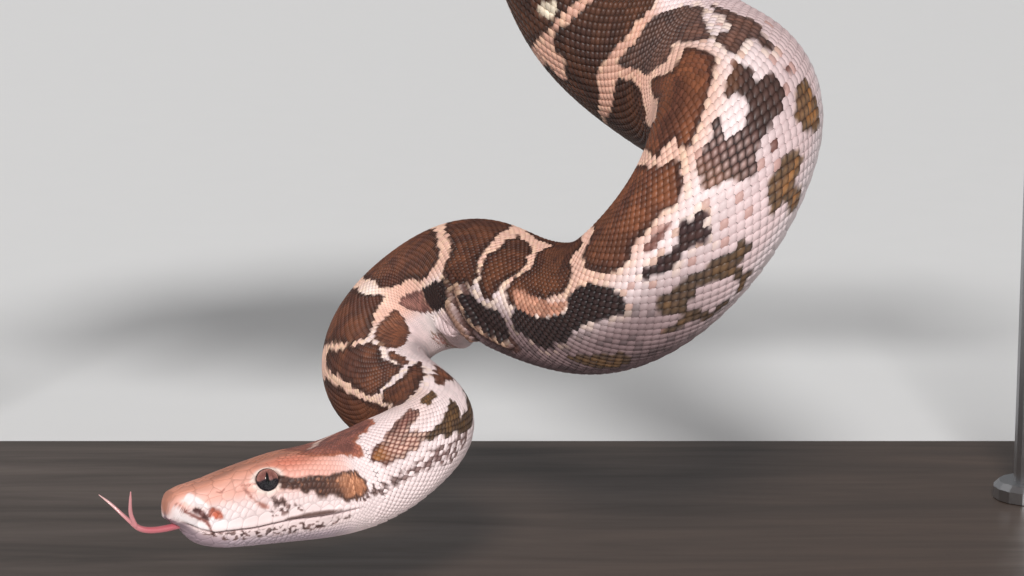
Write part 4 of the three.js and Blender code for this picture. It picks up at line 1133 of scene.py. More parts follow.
def wood_group():
    """Colour, roughness and height of wood along X: noise stretched into streaks, times the distance from
    cracks where Bark is high, mixes Dark and Light."""
    inputs = {
        "Light": ("NodeSocketColor", (0.30, 0.19, 0.11, 1)),
        "Dark": ("NodeSocketColor", (0.10, 0.06, 0.035, 1)),
        "Streak": ("NodeSocketFloat", 60.0),
        "Bark": ("NodeSocketFloat", 0.0),
    }
    group, start, end = shader_group("Wood tone", inputs, TONE_OUTPUTS)
    place = node(group, "ShaderNodeTexCoord")
    stretch = node(group, "ShaderNodeMapping", in_Scale=(0.12, 1.0, 1.0))
    grain = node(group, "ShaderNodeTexNoise", in_Detail=6.0, in_Roughness=0.62, in_Distortion=0.4)
    ramp = node(group, "ShaderNodeMapRange", in_From_Min=0.32, in_From_Max=0.68)
    crack = node(group, "ShaderNodeTexVoronoi", feature="DISTANCE_TO_EDGE", in_Scale=75.0)
    gap = node(group, "ShaderNodeMapRange", in_From_Max=0.12)
    full = node(group, "ShaderNodeMath", operation="SUBTRACT", in_0=1.0)
    kept = node(group, "ShaderNodeMath", operation="MAXIMUM")
    share = node(group, "ShaderNodeMath", operation="MULTIPLY")
    blend = node(group, "ShaderNodeMix", data_type="RGBA")
    rough = node(group, "ShaderNodeMapRange", in_To_Min=0.75, in_To_Max=0.5)
    wire(
        group,
        (place, "Object", stretch, "Vector"),
        (stretch, "Vector", grain, "Vector"),
        (start, "Streak", grain, "Scale"),
        (grain, "Fac", ramp, "Value"),
        (stretch, "Vector", crack, "Vector"),
        (crack, "Distance", gap, "Value"),
        (start, "Bark", full, 1),
        (gap, "Result", kept, 0),
        (full, 0, kept, 1),
        (ramp, "Result", share, 0),
        (kept, 0, share, 1),
        (share, 0, blend, 0),
        (start, "Dark", blend, COLOR_A),
        (start, "Light", blend, COLOR_B),
        (share, 0, rough, "Value"),
        (blend, COLOR_OUT, end, "Color"),
        (rough, "Result", end, "Roughness"),
        (share, 0, end, "Height"),
    )
    return group


def new_material(name):
    """A material with only its Principled shader, and that shader."""
    material = bpy.data.materials.new(name)
    material.use_nodes = True
    return material, material.node_tree, material.node_tree.nodes["Principled BSDF"]


def set_inputs(shader, **values):
    """Sets a shader's inputs, named with underscores for spaces."""
    for key, value in values.items():
        shader.inputs[key.replace("_", " ")].default_value = value


def join_group(tree, shader, group, bump, distance, values):
    """Puts a group's colour, roughness and height into a shader, the height through a bump node."""
    used = tree.nodes.new("ShaderNodeGroup")
    used.node_tree = group
    for key, value in values.items():
        used.inputs[key].default_value = value
    height = node(tree, "ShaderNodeBump", in_Strength=bump, in_Distance=distance)
    wire(
        tree,
        (used, "Color", shader, "Base Color"),
        (used, "Roughness", shader, "Roughness"),
        (used, "Height", height, "Height"),
        (height, "Normal", shader, "Normal"),
    )
    return used


def skin_material(name, group, shade, gloss):
    """Skin or scales in the colours of the markings attribute."""
    material, tree, shader = new_material(name)
    used = join_group(tree, shader, group, 0.12, 0.0002, {"Shade": shade, "Gloss": gloss})
    marks = node(tree, "ShaderNodeAttribute", attribute_name="markings")
    wire(tree, (marks, "Color", used, "Marking"))
    set_inputs(shader, Specular_IOR_Level=0.35, Coat_Weight=0.04, Coat_Roughness=0.3)
    return material


def wood_material(name, group, light, dark, streak, bark, bump, coat=0.0):
    """Wood with streaks between two colours, cracked like bark or under a clear coat."""
    material, tree, shader = new_material(name)
    values = {"Light": (*light, 1), "Dark": (*dark, 1), "Streak": streak, "Bark": bark}
    join_group(tree, shader, group, bump, 0.0015 if bark else 0.0002, values)
    set_inputs(shader, Coat_Weight=coat, Coat_Roughness=0.25)
    return material


def plain_material(name, colour, roughness, metallic, speckle, scale):
    """One colour with a slight noise in its value, between 1 - speckle and 1 + speckle, and in its
    roughness."""
    material, tree, shader = new_material(name)
    low, high = (tuple(min(1, c * share) for c in colour) + (1,) for share in (1 - speckle, 1 + speckle))
    place = node(tree, "ShaderNodeTexCoord")
    noise = node(tree, "ShaderNodeTexNoise", in_Scale=scale, in_Detail=4.0)
    blend = node(tree, "ShaderNodeMix", data_type="RGBA", in_6=low, in_7=high)
    rough = node(tree, "ShaderNodeMapRange", in_To_Min=roughness - 0.05, in_To_Max=roughness + 0.05)
    wire(
        tree,
        (place, "Object", noise, "Vector"),
        (noise, "Fac", blend, 0),
        (blend, COLOR_OUT, shader, "Base Color"),
        (noise, "Fac", rough, "Value"),
        (rough, "Result", shader, "Roughness"),
    )
    set_inputs(shader, Metallic=metallic)
    return material


def attribute_material(name, **values):
    """Colour from the markings attribute, under the given shader settings."""
    material, tree, shader = new_material(name)
    marks = node(tree, "ShaderNodeAttribute", attribute_name="markings")
    wire(tree, (marks, "Color", shader, "Base Color"))
    set_inputs(shader, **values)
    return material


# ---------------------------------------------------------------- the pieces
class Shared:
    """What several operators use: the spine, the skin's table, the markings and the shader groups."""

    made = {}

    @classmethod
    def get(cls, key):
        """The thing of that name, built at its first use."""
        if key not in cls.made:
            cls.made[key] = {
                "spine": Spine,
                "surface": lambda: Surface(cls.get("spine")),
                "markings": Markings,
                "skin_group": skin_tone_group,
                "wood_group": wood_group,
                "scales": lambda: skin_material("Scales", cls.get("skin_group"), 1.0, 0.4),
            }[key]()
        return cls.made[key]


def finish_piece(piece, slot, *nodes):
    """Puts a piece on the model's one body, in a slot, and in the place of the CAD nodes that it
    replaces."""
    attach(piece, "root")
    if nodes:
        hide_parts(*nodes)
    return piece


def pitches_passed(al, pitch):
    """How many pitches lie before each place: the running sum of step / pitch by the trapezium rule."""
    return np.concatenate([[0], np.cumsum(np.diff(al) * (1 / pitch[1:] + 1 / pitch[:-1]) / 2)])


def bake_place(share, offset):
    """A coordinate on the bake map: a share of the map inside its margin, moved by up to half a patch."""
    return share * PATCH_SPAN + PATCH_MARGIN + offset * PATCH / 2


def build_skin(settings):
    """The skin as one closed sheet: rings of fine points over the head, every second point carried on
    along the body, and a point at snout and tail."""
    surface, marks = Shared.get("surface"), Shared.get("markings")
    head_al = np.arange(-CAP_LENGTH + 0.5, FINE_SKIN_END + 0.01, settings.head_ring)
    near_ring = NEAR_RING_SHARE * settings.body_ring
    near_al = np.arange(FINE_SKIN_END + near_ring, NEAR_SKIN_END, near_ring)
    far_al = np.arange(NEAR_SKIN_END, SNAKE_LENGTH - 1, settings.body_ring)
    body_al = np.concatenate([near_al, far_al, [SNAKE_LENGTH - 0.2]])
    n = settings.columns
    points, shades = [], []
    for al, count in ((head_al, 2 * n), (body_al, n)):
        a, b = np.meshgrid(al, np.linspace(-1, 1, count, endpoint=False), indexing="ij")
        points.append(surface.sample(a, b).reshape(-1, 3))
        deg = surface.degrees(a, b)
        shown = np.where(a > HEAD_END - 1, 0.6 + 0.3 * smooth(np.abs(deg), 138, 148), 0.95)
        shades.append((marks.colour(a, deg, 0.4, 0.5) * shown[..., None]).reshape(-1, 3))
    end, tangent, _, _ = Shared.get("spine").frame(np.array([SNAKE_LENGTH]))
    points += [surface.sample(np.array([-CAP_LENGTH]), np.array([0.0])), end + tangent * 0.8]
    shades += [shades[0][:1], shades[1][-1:]]
    m = len(head_al) * 2 * n
    total = m + len(body_al) * n
    j = np.arange(n)
    coarse, fine = m + j, m - 2 * n + np.arange(2 * n)
    near, mid, far, beyond = fine[::2], fine[1::2], np.roll(fine[::2], -1), np.roll(coarse, -1)
    joint = [np.stack(v, 1) for v in ((near, mid, coarse), (mid, beyond, coarse), (mid, far, beyond))]
    ends = [fan(total, np.arange(2 * n)[::-1]), fan(total + 1, total - n + j)]
    quads = np.concatenate([grid_faces(len(head_al), 2 * n, True), grid_faces(len(body_al), n, True) + m])
    faces = [quads, np.concatenate(joint + ends)]
    material = skin_material("Skin under the scales", Shared.get("skin_group"), 0.9, 0.5)
    made = make_mesh("snake_skin", np.concatenate(points), faces, material, np.concatenate(shades))
    return finish_piece(made, "snake_skin", *SNAKE_NODES)


def scale_layout(zone):
    """Places of a zone's scales as (along, share of the half girth, height of the row, pitch). The rows
    lie at growing shares of the girth, every second row half a pitch on, and the pitch is a share of the
    girth."""
    start, end, rows = zone
    surface = Shared.get("surface")
    al = np.arange(start, end + 0.25, 0.25)
    pitch = PITCH_SHARE * half_width(al) * FULL_ROWS / rows
    passed = pitches_passed(al, pitch)
    row = np.arange(rows + 1)
    q = SIDE_EDGE * (0.9 * row / rows + 0.1 * (row / rows) ** 2.2)
    step = np.gradient(q)
    steps = np.arange(0, math.floor(passed[-1] - 0.6)) + 0.3
    found = []
    for side, own in ((1, row), (-1, row[1:])):
        k, i = np.meshgrid(steps, own, indexing="ij")
        a = np.interp((k + 0.5 * (i % 2)).ravel(), passed, al)
        i = i.ravel()
        found.append(np.stack([a, side * q[i], step[i], np.interp(a, al, pitch)], 1))
    found = np.concatenate(found)
    found = found[found[:, 0] > head_border(surface.degrees(found[:, 0], found[:, 1]))]
    return found[np.argsort(found[:, 0], kind="stable")]


def scale_bodies(layout, settings, chance):
    """Points, colours and bake places of scales: a lozenge outline sunk into the skin, the same outline
    drawn in and raised towards the tail, and a domed middle."""
    surface, marks = Shared.get("surface"), Shared.get("markings")
    al, q, dq, pitch = (layout[:, i : i + 1] for i in range(4))
    x, y = np.concatenate([SCALE_OUTLINE, SCALE_OUTLINE * 0.84, [[0.04, 0.0]]]).T[:, None]
    edge = len(SCALE_OUTLINE)
    raised = np.interp(SCALE_OUTLINE[:, 0], [-0.5, -0.07, 0.6], [-0.01, 0.065, 0.13])
    lift = np.concatenate([np.full(edge, -0.1), raised, [0.155]]) * pitch * settings.lift
    a = al + x * pitch
    points = surface.sample(a, q + y * dq, lift)
    angle = surface.degrees(al + 0.55 * x * pitch, q + 0.45 * y * dq)
    # glint: 0 at the rim, 1 at the middle, which the marks make lighter, partly as a painted highlight
    glint = np.concatenate([np.zeros(edge), np.full(edge, 0.35), [1.0]]) + 0 * a
    tone = marks.colour(al + 0.55 * x * pitch, angle, 0.25, chance[:, None], glint)
    pale = smooth(tone.mean(-1, keepdims=True), 90, 200)
    rim = (np.arange(2 * edge + 1) < edge)[:, None]
    tone = tone * (1 - rim * (1 - settings.rim_shade - 0.1 * pale))
    start, end = al.min() - 2, al.max() + 2
    u = bake_place((al - start) / (end - start), x)
    v = bake_place((surface.degrees(al, q) + 180) / 360, y)
    return points, tone, np.stack([u, v], -1)


def build_scales(settings):
    """Small overlapping scales over back and flanks, in pieces along the body."""
    layout = np.concatenate([scale_layout(zone) for zone in SCALE_ZONES])
    chance = np.random.default_rng(settings.seed).random(len(layout))
    edge = len(SCALE_OUTLINE)
    j = np.arange(edge)
    k = (j + 1) % edge
    rim, top = np.stack([k, j, j + edge, k + edge], 1), fan(2 * edge, edge + j[::-1])
    each = COAT_LIMIT // (3 * edge)
    pieces = []
    for number, first in enumerate(range(0, len(layout), each), 1):
        part = layout[first : first + each]
        points, tone, uv = scale_bodies(part, settings, chance[first : first + each])
        faces = [repeat_faces(shape, len(part), 2 * edge + 1) for shape in (rim, top)]
        made = make_mesh(f"scales_{number}", points, faces, Shared.get("scales"), tone.reshape(-1, 3), uv)
        pieces.append(finish_piece(made, "snake_skin"))
    return pieces


def build_belly(settings):
    """Broad belly scales: each a strip across the belly that rises towards the tail and drops at its free
    edge."""
    surface, marks = Shared.get("surface"), Shared.get("markings")
    al = np.arange(59, SNAKE_LENGTH - 4, 0.5)
    pitch = settings.scute_pitch * half_width(al)
    passed = pitches_passed(al, pitch)
    centre = np.interp(np.arange(0.5, math.floor(passed[-1]) - 0.5), passed, al)[:, None, None]
    across = np.linspace(-1, 1, 11)
    profile, height = SCUTE_PROFILE.T[..., None]
    x = profile * (1 - 0.22 * np.abs(across) ** 6)
    a = centre + x * np.interp(centre, al, pitch)
    b = 1 + (1 - SIDE_EDGE + 0.012) * across + 0 * a
    ends = np.where(np.abs(across) > 0.99, -0.35, 0.0)
    points = surface.sample(a, b, (height + ends) * np.minimum(1, half_width(centre) / 20))
    chance = np.random.default_rng(settings.seed + 1).random((len(centre), 1, 1))
    tone = marks.colour(a, surface.degrees(a, b), 0.5, chance)
    # painted shade: each belly scale darker where it dips under its neighbour
    tone = tone * np.interp(height, [-0.25, 0.2], [0.8, 1.0])[..., None]
    rows, columns = x.shape
    faces = repeat_faces(grid_faces(rows, columns), len(centre), rows * columns)
    uv = np.stack([bake_place(centre / SNAKE_LENGTH, x), bake_place(1.0, across) + 0 * a], -1)
    made = make_mesh("belly_scales", points, [faces], Shared.get("scales"), tone.reshape(-1, 3), uv)
    return finish_piece(made, "snake_skin")


def head_seeds():
    """Middles of the head's plates as (along, mm round from the back, reach), and the eye's place round:
    the named plates, a row on each lip, and small scales in staggered rows wherever no plate is."""
    surface = Shared.get("surface")
    named = np.array(HEAD_PLATES + CHIN_PLATES)
    named[:, 1] = surface.q_at(named[:, 0], named[:, 1]) * surface.girth(named[:, 0])
    turn = np.linspace(60, 170, 441)
    _, up = section(LABIALS[:, None], np.radians(turn)[None])
    level = np.interp(LABIALS, LIP_LINE[:, 0], LIP_LINE[:, 1])
    lip = turn[np.argmin(np.abs(up - level[:, None]), axis=1)]
    lip_arc = surface.q_at(LABIALS, lip) * surface.girth(LABIALS)
    reach = 2.0 * np.interp(LABIALS, [40, 54.3], [1.0, 0.45])
    seeds = [named] + [np.stack([LABIALS, lip_arc + side * reach, reach], 1) for side in (-1, 1)]
    seeds = np.concatenate(seeds)
    rows = []
    al = 4.0
    while al < HEAD_END + 6:
        pitch = np.interp(al, [4, 30, 40, 52, 70], [2.4, 2.5, 1.9, 1.6, 1.5])
        gap = pitch * 1.02
        shift = 0.5 * gap * (1 - len(rows) % 2)
        arc = np.arange(shift, float(surface.girth(al)) - 0.2 * gap, gap)
        rows.append(np.stack([np.full(len(arc), al), arc, np.full(len(arc), 0.5 * pitch)], 1))
        al += pitch * 0.62
    small = np.concatenate(rows)
    wander = np.random.default_rng(4).random((len(small), 2)) - 0.5
    small[:, :2] += wander * 0.16 * small[:, 2:] * (small[:, 1:2] > 0.6)
    gap = np.hypot(small[:, None, 0] - seeds[None, :, 0], small[:, None, 1] - seeds[None, :, 1])
    clear = (gap > seeds[None, :, 2] + 0.55 * small[:, 2:]).all(1)
    eye = float(surface.q_at(EYE["along"], EYE_DEGREES) * surface.girth(EYE["along"]))
    clear &= np.hypot(small[:, 0] - EYE["along"], small[:, 1] - eye) > EYE_OPENING + 0.4
    lip_here = np.interp(small[:, 0], LABIALS, lip_arc)
    clear &= (np.abs(small[:, 1] - lip_here) > 0.9) | (small[:, 0] > 56)
    return np.concatenate([seeds, small[clear]]), eye


def plate_outlines(seeds, others, sides, gap):
    """How far each plate reaches in each direction. A neighbour at distance D with reach R limits a plate
    of reach r at (D ** 2 + r ** 2 - R ** 2) / 2 D - gap, and the limits are added as high powers, which
    rounds the corners."""
    turn = np.linspace(0, 2 * np.pi, sides, endpoint=False)
    way = np.stack([np.cos(turn), np.sin(turn)], 1)
    away = others[None, :, :2] - seeds[:, None, :2]
    far = np.linalg.norm(away, axis=2)
    far[far < 1e-6] = 1e9
    near = np.argsort(far, axis=1)[:, :NEIGHBOURS]
    far = np.take_along_axis(far, near, 1)
    away = np.take_along_axis(away, near[..., None], 1) / far[..., None]
    limit = (far**2 + seeds[:, 2:] ** 2 - others[near, 2] ** 2) / (2 * far) - gap
    limit = np.clip(limit, 0.15, None)[..., None]
    toward = np.maximum(0, np.einsum("nkc,sc->nks", away, way))
    own_limit = (1 / (1.8 * seeds[:, 2:])) ** CORNER_POWER
    return turn, (((toward / limit) ** CORNER_POWER).sum(1) + own_limit) ** (-1 / CORNER_POWER)


def plate_part(plates, outline, side, big, chance, settings):
    """Points, colours, bake places and faces of one side's plates: an outline sunk at its edge, a raised
    shoulder and a level top, whose last ring is one point, kept once."""
    surface, marks = Shared.get("surface"), Shared.get("markings")
    turn, reach = outline
    share, height = np.array(PLATE_RINGS[big]).T[..., None]
    centre, round_, own = (plates[:, i, None, None] for i in range(3))
    a = centre + share * reach[:, None] * np.cos(turn)
    arc = round_ + share * reach[:, None] * np.sin(turn)
    q = arc / surface.girth(a) * side
    lift = height * np.minimum(1, own / 1.2) * settings.plate_lift
    points = surface.sample(np.maximum(a, 0.2 - CAP_LENGTH), q, lift)
    # glint: towards the plate's middle, which the marks make lighter, partly as a painted highlight
    glint = np.interp(share, [0.6, 0.93], [0.9, 0.0])
    glint[-1] = 1.0
    tone = marks.colour(a, surface.degrees(np.maximum(a, 0), q), 0.35, chance[:, None, None], glint)
    tone = tone * np.interp(share, [0.94, 1.0], [1.0, PLATE_RIM_SHADE[big]])[..., None]
    root = surface.degrees(centre, side * round_ / surface.girth(centre))
    u = bake_place(centre / (HEAD_END + 4), share * np.cos(turn))
    v = bake_place((root + 180) / 360, share * np.sin(turn))
    rings, sides = len(share) - 1, len(turn)

    size = rings * sides + 1

    def flat(table):
        """Each plate's rings laid one after another, up to the middle's first point."""
        width = table.shape[-1]
        return table.reshape(len(plates), -1, width)[:, :size].reshape(-1, width)

    ring = np.arange(sides)
    shapes = [grid_faces(rings, sides, True)[:, ::-1], fan(rings * sides, (rings - 1) * sides + ring[::-1])]
    faces = [repeat_faces(shape[:, ::side], len(plates), size) for shape in shapes]
    return flat(points), flat(tone), flat(np.stack([u, v], -1)), faces


def build_head_plates(settings):
    """Smooth plates and small scales of the head, the right side mirroring the left."""
    surface = Shared.get("surface")
    left, eye_arc = head_seeds()
    girth = surface.girth(left[:, 0])
    under = np.stack([left[:, 0], 2 * girth - left[:, 1], left[:, 2]], 1)
    eyes = np.array([(EYE["along"], side * eye_arc, EYE_OPENING) for side in (1, -1)])
    others = np.concatenate([left, left * [1, -1, 1], under, eyes])
    kept = left[left[:, 0] < head_border(surface.degrees(left[:, 0], left[:, 1] / girth)) + 0.8]
    rng = np.random.default_rng(settings.seed + 2)
    parts = []
    for big in (True, False):
        own = kept[(kept[:, 2] > BIG_PLATE) == big]
        turn, reach = plate_outlines(own, others, PLATE_SIDES[big], settings.plate_gap)
        chance = rng.random(len(own))
        on_both = np.abs(own[:, 1]) >= 0.3
        for side, keep in ((1, np.full(len(own), True)), (-1, on_both)):
            parts.append(plate_part(own[keep], (turn, reach[keep]), side, big, chance[keep], settings))
    points, tones, uv, faces = joined(parts)
    made = make_mesh("head_plates", points, faces, Shared.get("scales"), tones, uv)
    return finish_piece(made, "snake_skin")


def eye_frame(side):
    """Centre and axes of one eye: across the eye, upwards, and outwards."""
    spine = Shared.get("spine")
    _, tangent, up, left = (v[0] for v in spine.frame(np.array([EYE["along"]])))
    centre = spine.place([EYE["along"]], [side * EYE["side"]], [EYE["up"]])[0]
    turn, rise = math.radians(EYE["forward"]), math.radians(EYE["upward"])
    out = left * side * math.cos(turn) - tangent * math.sin(turn)
    out = unit(out * math.cos(rise) + up * math.sin(rise))
    across = unit(np.cross(up, out))
    return centre, across, np.cross(out, across), out


def iris_tone(x, y, pupil_width):
    """The eye's colours at places from -1 to 1: a dark lower half, a fibrous upper half, an upright slit
    pupil and a dark rim."""
    share, turn = np.hypot(x, y), np.arctan2(y, x) % (2 * np.pi)
    fibre = lattice_noise(turn * 9, share * 4, 8) * 0.5 + lattice_noise(turn * 23, share * 3, 9) * 0.5
    upper = smooth(y + 0.06 * np.sin(7 * x), -0.12, 0.1)
    tone = mix(IRIS["lower"], mix(IRIS["upper"], IRIS["fibre"], fibre), upper)
    tone = mix(tone, IRIS["inner"], 0.5 * smooth(share, 0.0, 0.5) * smooth(share, 0.8, 0.5) * upper)
    tone = mix(tone, IRIS["pupil"], smooth(np.hypot(x / pupil_width, y / 0.62), 1.08, 0.9))
    return mix(tone, IRIS["rim"], smooth(share, 0.92, 0.98))


def build_eyes(settings):
    """Each eye is a ball with a dished iris and an upright slit pupil, under a clear dome that carries no
    lid."""
    turn = np.linspace(0, 2 * np.pi, EYE_SIDES, endpoint=False)
    ball_material = attribute_material("Iris", Roughness=0.5, Specular_IOR_Level=0.15)
    dome_material, _, dome_shader = new_material("Clear eye scale")
    set_inputs(dome_shader, Roughness=0.02, Transmission_Weight=1.0, IOR=1.35, Base_Color=(1, 1, 1, 1))
    share = np.concatenate([np.linspace(0, 0.94, 26)[1:], [0.97, 1.0]])[:, None]
    x, y = share * np.cos(turn), share * np.sin(turn)
    rise = np.where(share > 0.96, 0.3, 0.44 + 0.12 * share**2)
    tilt = np.linspace(0.06, 1, 22)[:, None] * math.radians(100.8)
    pieces = []
    for name, side in (("left", 1), ("right", -1)):
        centre, *axes = eye_frame(side)

        def place(across, up, out):
            """Points given along the eye's own axes."""
            table = np.stack(np.broadcast_arrays(across, up, out), -1)
            return centre + table @ np.array(axes)

        reach, bulge = EYE_SHOWN - 0.1, EYE["bulge"] - 0.12
        rings = place(x * reach, y * reach, bulge * rise)
        points, faces = capped(rings, place(0, 0, 0.44 * bulge), place(0, 0, -0.7 * bulge))
        middle = iris_tone(np.zeros(1), np.zeros(1), settings.pupil_width)
        tones = np.concatenate([iris_tone(x, y, settings.pupil_width).reshape(-1, 3), middle, [IRIS["back"]]])
        made = make_mesh(f"eyeball_{name}", points, faces, ball_material, tones)
        pieces.append(finish_piece(made, "eye", f"eye_{name}"))
        reach, bulge = EYE_SHOWN, EYE["bulge"]
        x_dome, y_dome = np.sin(tilt) * np.cos(turn), np.sin(tilt) * np.sin(turn)
        rings = place(x_dome * reach, y_dome * reach, np.cos(tilt) * bulge)
        points, faces = capped(rings, place(0, 0, bulge), place(0, 0, -0.25 * bulge))
        pieces.append(finish_piece(make_mesh(f"eye_scale_{name}", points, faces, dome_material), "eye"))
    return pieces


def build_tongue(settings):
    """A soft forked tongue: a flattened stem and two tapering tips, each a tube along a smooth curve."""
    spine = Shared.get("spine")
    material = attribute_material("Wet tongue", Roughness=0.3, Coat_Weight=0.6, Coat_Roughness=0.12)
    up = spine.frame(np.array([0.0]))[2][0]
    parts = []
    for table, count in ((TONGUE_STEM, 40), (TONGUE_LEFT, 34), (TONGUE_RIGHT, 34)):
        knots = lengths(table[:, :3])
        along, side, height, radii = spline(knots, table)(np.linspace(0, knots[-1], count)).T
        radii = radii * settings.tongue_girth
        if table is not TONGUE_STEM:
            radii = radii * (1 - 0.55 * smooth(np.arange(count), count - 9, count))
        points, faces = tube(spine.place(along, side, height), radii, TONGUE_SIDES, up, 0.8)
        own = mix(*TONGUE_COLOURS, np.clip((-along - 6) / 10, 0, 1))
        parts.append((points, np.concatenate([np.repeat(own, TONGUE_SIDES, 0), own[:1], own[-1:]]), faces))
    points, tones, faces = joined(parts)
    return finish_piece(make_mesh("soft_tongue", points, faces, material, tones), "tongue", "tongue")


def branch_log(bark_depth):
    """Points and faces of the cut length of branch: a cylinder along X whose bark swells and cracks
    inwards, with rings on its cut ends."""
    half = BRANCH["length"] / 2
    x = np.linspace(-half, half, 360)
    m = 144
    share_round = np.arange(m) / m
    a, t = np.meshgrid(x, share_round, indexing="ij")

    def rough(scale, count, seed):
        """Noise over the branch that joins up round it."""
        first = lattice_noise(a / scale + 40, t * count, seed)
        second = lattice_noise(a / scale + 40, (t - 1) * count, seed)
        return first + (second - first) * smooth(t, 0.85, 1)

    crack = 1 - smooth(np.abs(rough(9, 26, 21) - 0.5) * 2, 0.0, 0.35)
    depth = bark_depth * (0.9 * crack + 0.7 * rough(34, 7, 22) + 0.35 * rough(4, 40, 23))
    radius = BRANCH["radius"] - depth - 0.8 * smooth(np.abs(a), half - 2.5, half)
    turn = 2 * np.pi * t
    points = np.stack([a, BRANCH["y"] + radius * np.cos(turn), BRANCH["z"] + radius * np.sin(turn)], -1)
    share = np.linspace(1, 0, 14)[1:-1, None, None]
    ends = []
    for ring, sign in ((points[0], -1), (points[-1], 1)):
        centre = np.array([sign * half, BRANCH["y"], BRANCH["z"]])
        inner = centre + (ring - centre) * share
        inner[..., 0] -= sign * 0.25 * (1 - np.abs(np.sin(share[..., 0] * 30)))
        ends.append((inner, centre))
    (start, first), (end, last) = ends
    return capped(np.concatenate([start[::-1], points, end])[:, ::-1], first, last)


def build_branch(settings):
    """The cut length of branch with a short side stub, under bark, with its end faces in cut wood."""
    stub_axis = np.array([0.0, math.cos(KNOT["lean"]), math.sin(KNOT["lean"])])
    foot = np.array([KNOT["x"], BRANCH["y"] + 12 * math.sin(KNOT["lean"]), BRANCH["z"] + 14.4])
    share = np.linspace(0.05, 1, 14)
    radii = KNOT["radius"] * (1 - 0.2 * share) - 0.4 * (np.arange(14) % 3 == 0)
    stub = tube(foot + stub_axis * share[:, None] * KNOT["length"], radii, 40, (1.0, 0.0, 0.0))
    points, faces = joined([branch_log(settings.bark_depth), stub])
    group = Shared.get("wood_group")
    bark = wood_material("Bark", group, (0.21, 0.135, 0.085), (0.045, 0.028, 0.018), 130.0, 0.65, 0.6)
    cut = wood_material("Cut wood", group, (0.52, 0.36, 0.20), (0.36, 0.23, 0.12), 260.0, 0.0, 0.2)
    made = make_mesh("branch", points, faces, bark)
    made.data.materials.append(cut)
    polygons = made.data.polygons
    centres = np.zeros(len(polygons) * 3)
    polygons.foreach_get("center", centres)
    on_end = np.abs(centres[0::3]) > (BRANCH["length"] / 2 - 0.35) * MM
    polygons.foreach_set("material_index", on_end.astype(np.int32))
    return finish_piece(made, "branch_wood", "perch_branch")


def dress_stand(settings):
    """Gives the stand's CAD nodes their finishes: an oiled board and brushed rods."""
    group = Shared.get("wood_group")
    light, dark = (0.075, 0.045, 0.03), (0.03, 0.018, 0.012)
    board = wood_material("Oiled board", group, light, dark, 42.0, 0.0, 0.15, 0.3)
    steel = plain_material("Brushed rod", (0.52, 0.52, 0.53), 0.32, 1.0, 0.05, 900.0)
    finishes = {"stand_base": board, "stand_rod_left": steel, "stand_rod_right": steel}
    for name, material in finishes.items():
        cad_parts[name].data.materials.clear()
        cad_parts[name].data.materials.append(material)
    return list(finishes)


def place_lamp(name, place, spread, power):
    """A far light from a place towards the middle of the model, spread over some degrees."""
    lamp = bpy.data.lights.new(name, "SUN")
    lamp.energy, lamp.angle = power, math.radians(spread)
    made = bpy.data.objects.new(name, lamp)
    bpy.context.scene.collection.objects.link(made)
    made.location = place
    aim = unit(np.array(LIGHT_AIM) - np.array(place))
    made.rotation_euler = (math.acos(-aim[2]), 0, math.atan2(-aim[0], aim[1]))


def build_stage(settings):
    """A pale floor, soft lights and the camera."""
    scene = bpy.context.scene
    material = plain_material("Pale floor", (0.78, 0.77, 0.76), 0.7, 0.0, 0.01, 30.0)
    turn = np.linspace(0, 2 * np.pi, FLOOR_SIDES, endpoint=False)
    rim = np.stack([np.cos(turn), np.sin(turn), 0 * turn], 1) * settings.floor_radius / MM
    floor = make_mesh("floor", rim, [np.arange(FLOOR_SIDES)[None]], material, smooth_shading=False)
    place_lamp("key_light", (-0.1, -1.3, 0.98), settings.key_softness, settings.key_power)
    place_lamp("fill_light", (1.2, -1.0, 0.7), 40, settings.fill_power)
    place_lamp("back_light", (-0.4, 1.0, 1.3), 30, settings.back_power)
    scene.world = bpy.data.worlds.new("Studio")
    scene.world.use_nodes = True
    background = scene.world.node_tree.nodes["Background"]
    set_inputs(background, Color=(0.80, 0.81, 0.84, 1), Strength=settings.world_strength)
    lens = bpy.data.cameras.new("camera")
    lens.lens, lens.sensor_width = settings.lens, 36.0
    lens.clip_start, lens.clip_end = 0.05, 60
    camera = bpy.data.objects.new("camera", lens)
    scene.collection.objects.link(camera)
    camera.location = settings.camera_place
    camera.rotation_euler = (math.radians(90 - settings.camera_down), 0, 0)
    scene.camera = camera
    scene.view_settings.view_transform = "Standard"
    return floor


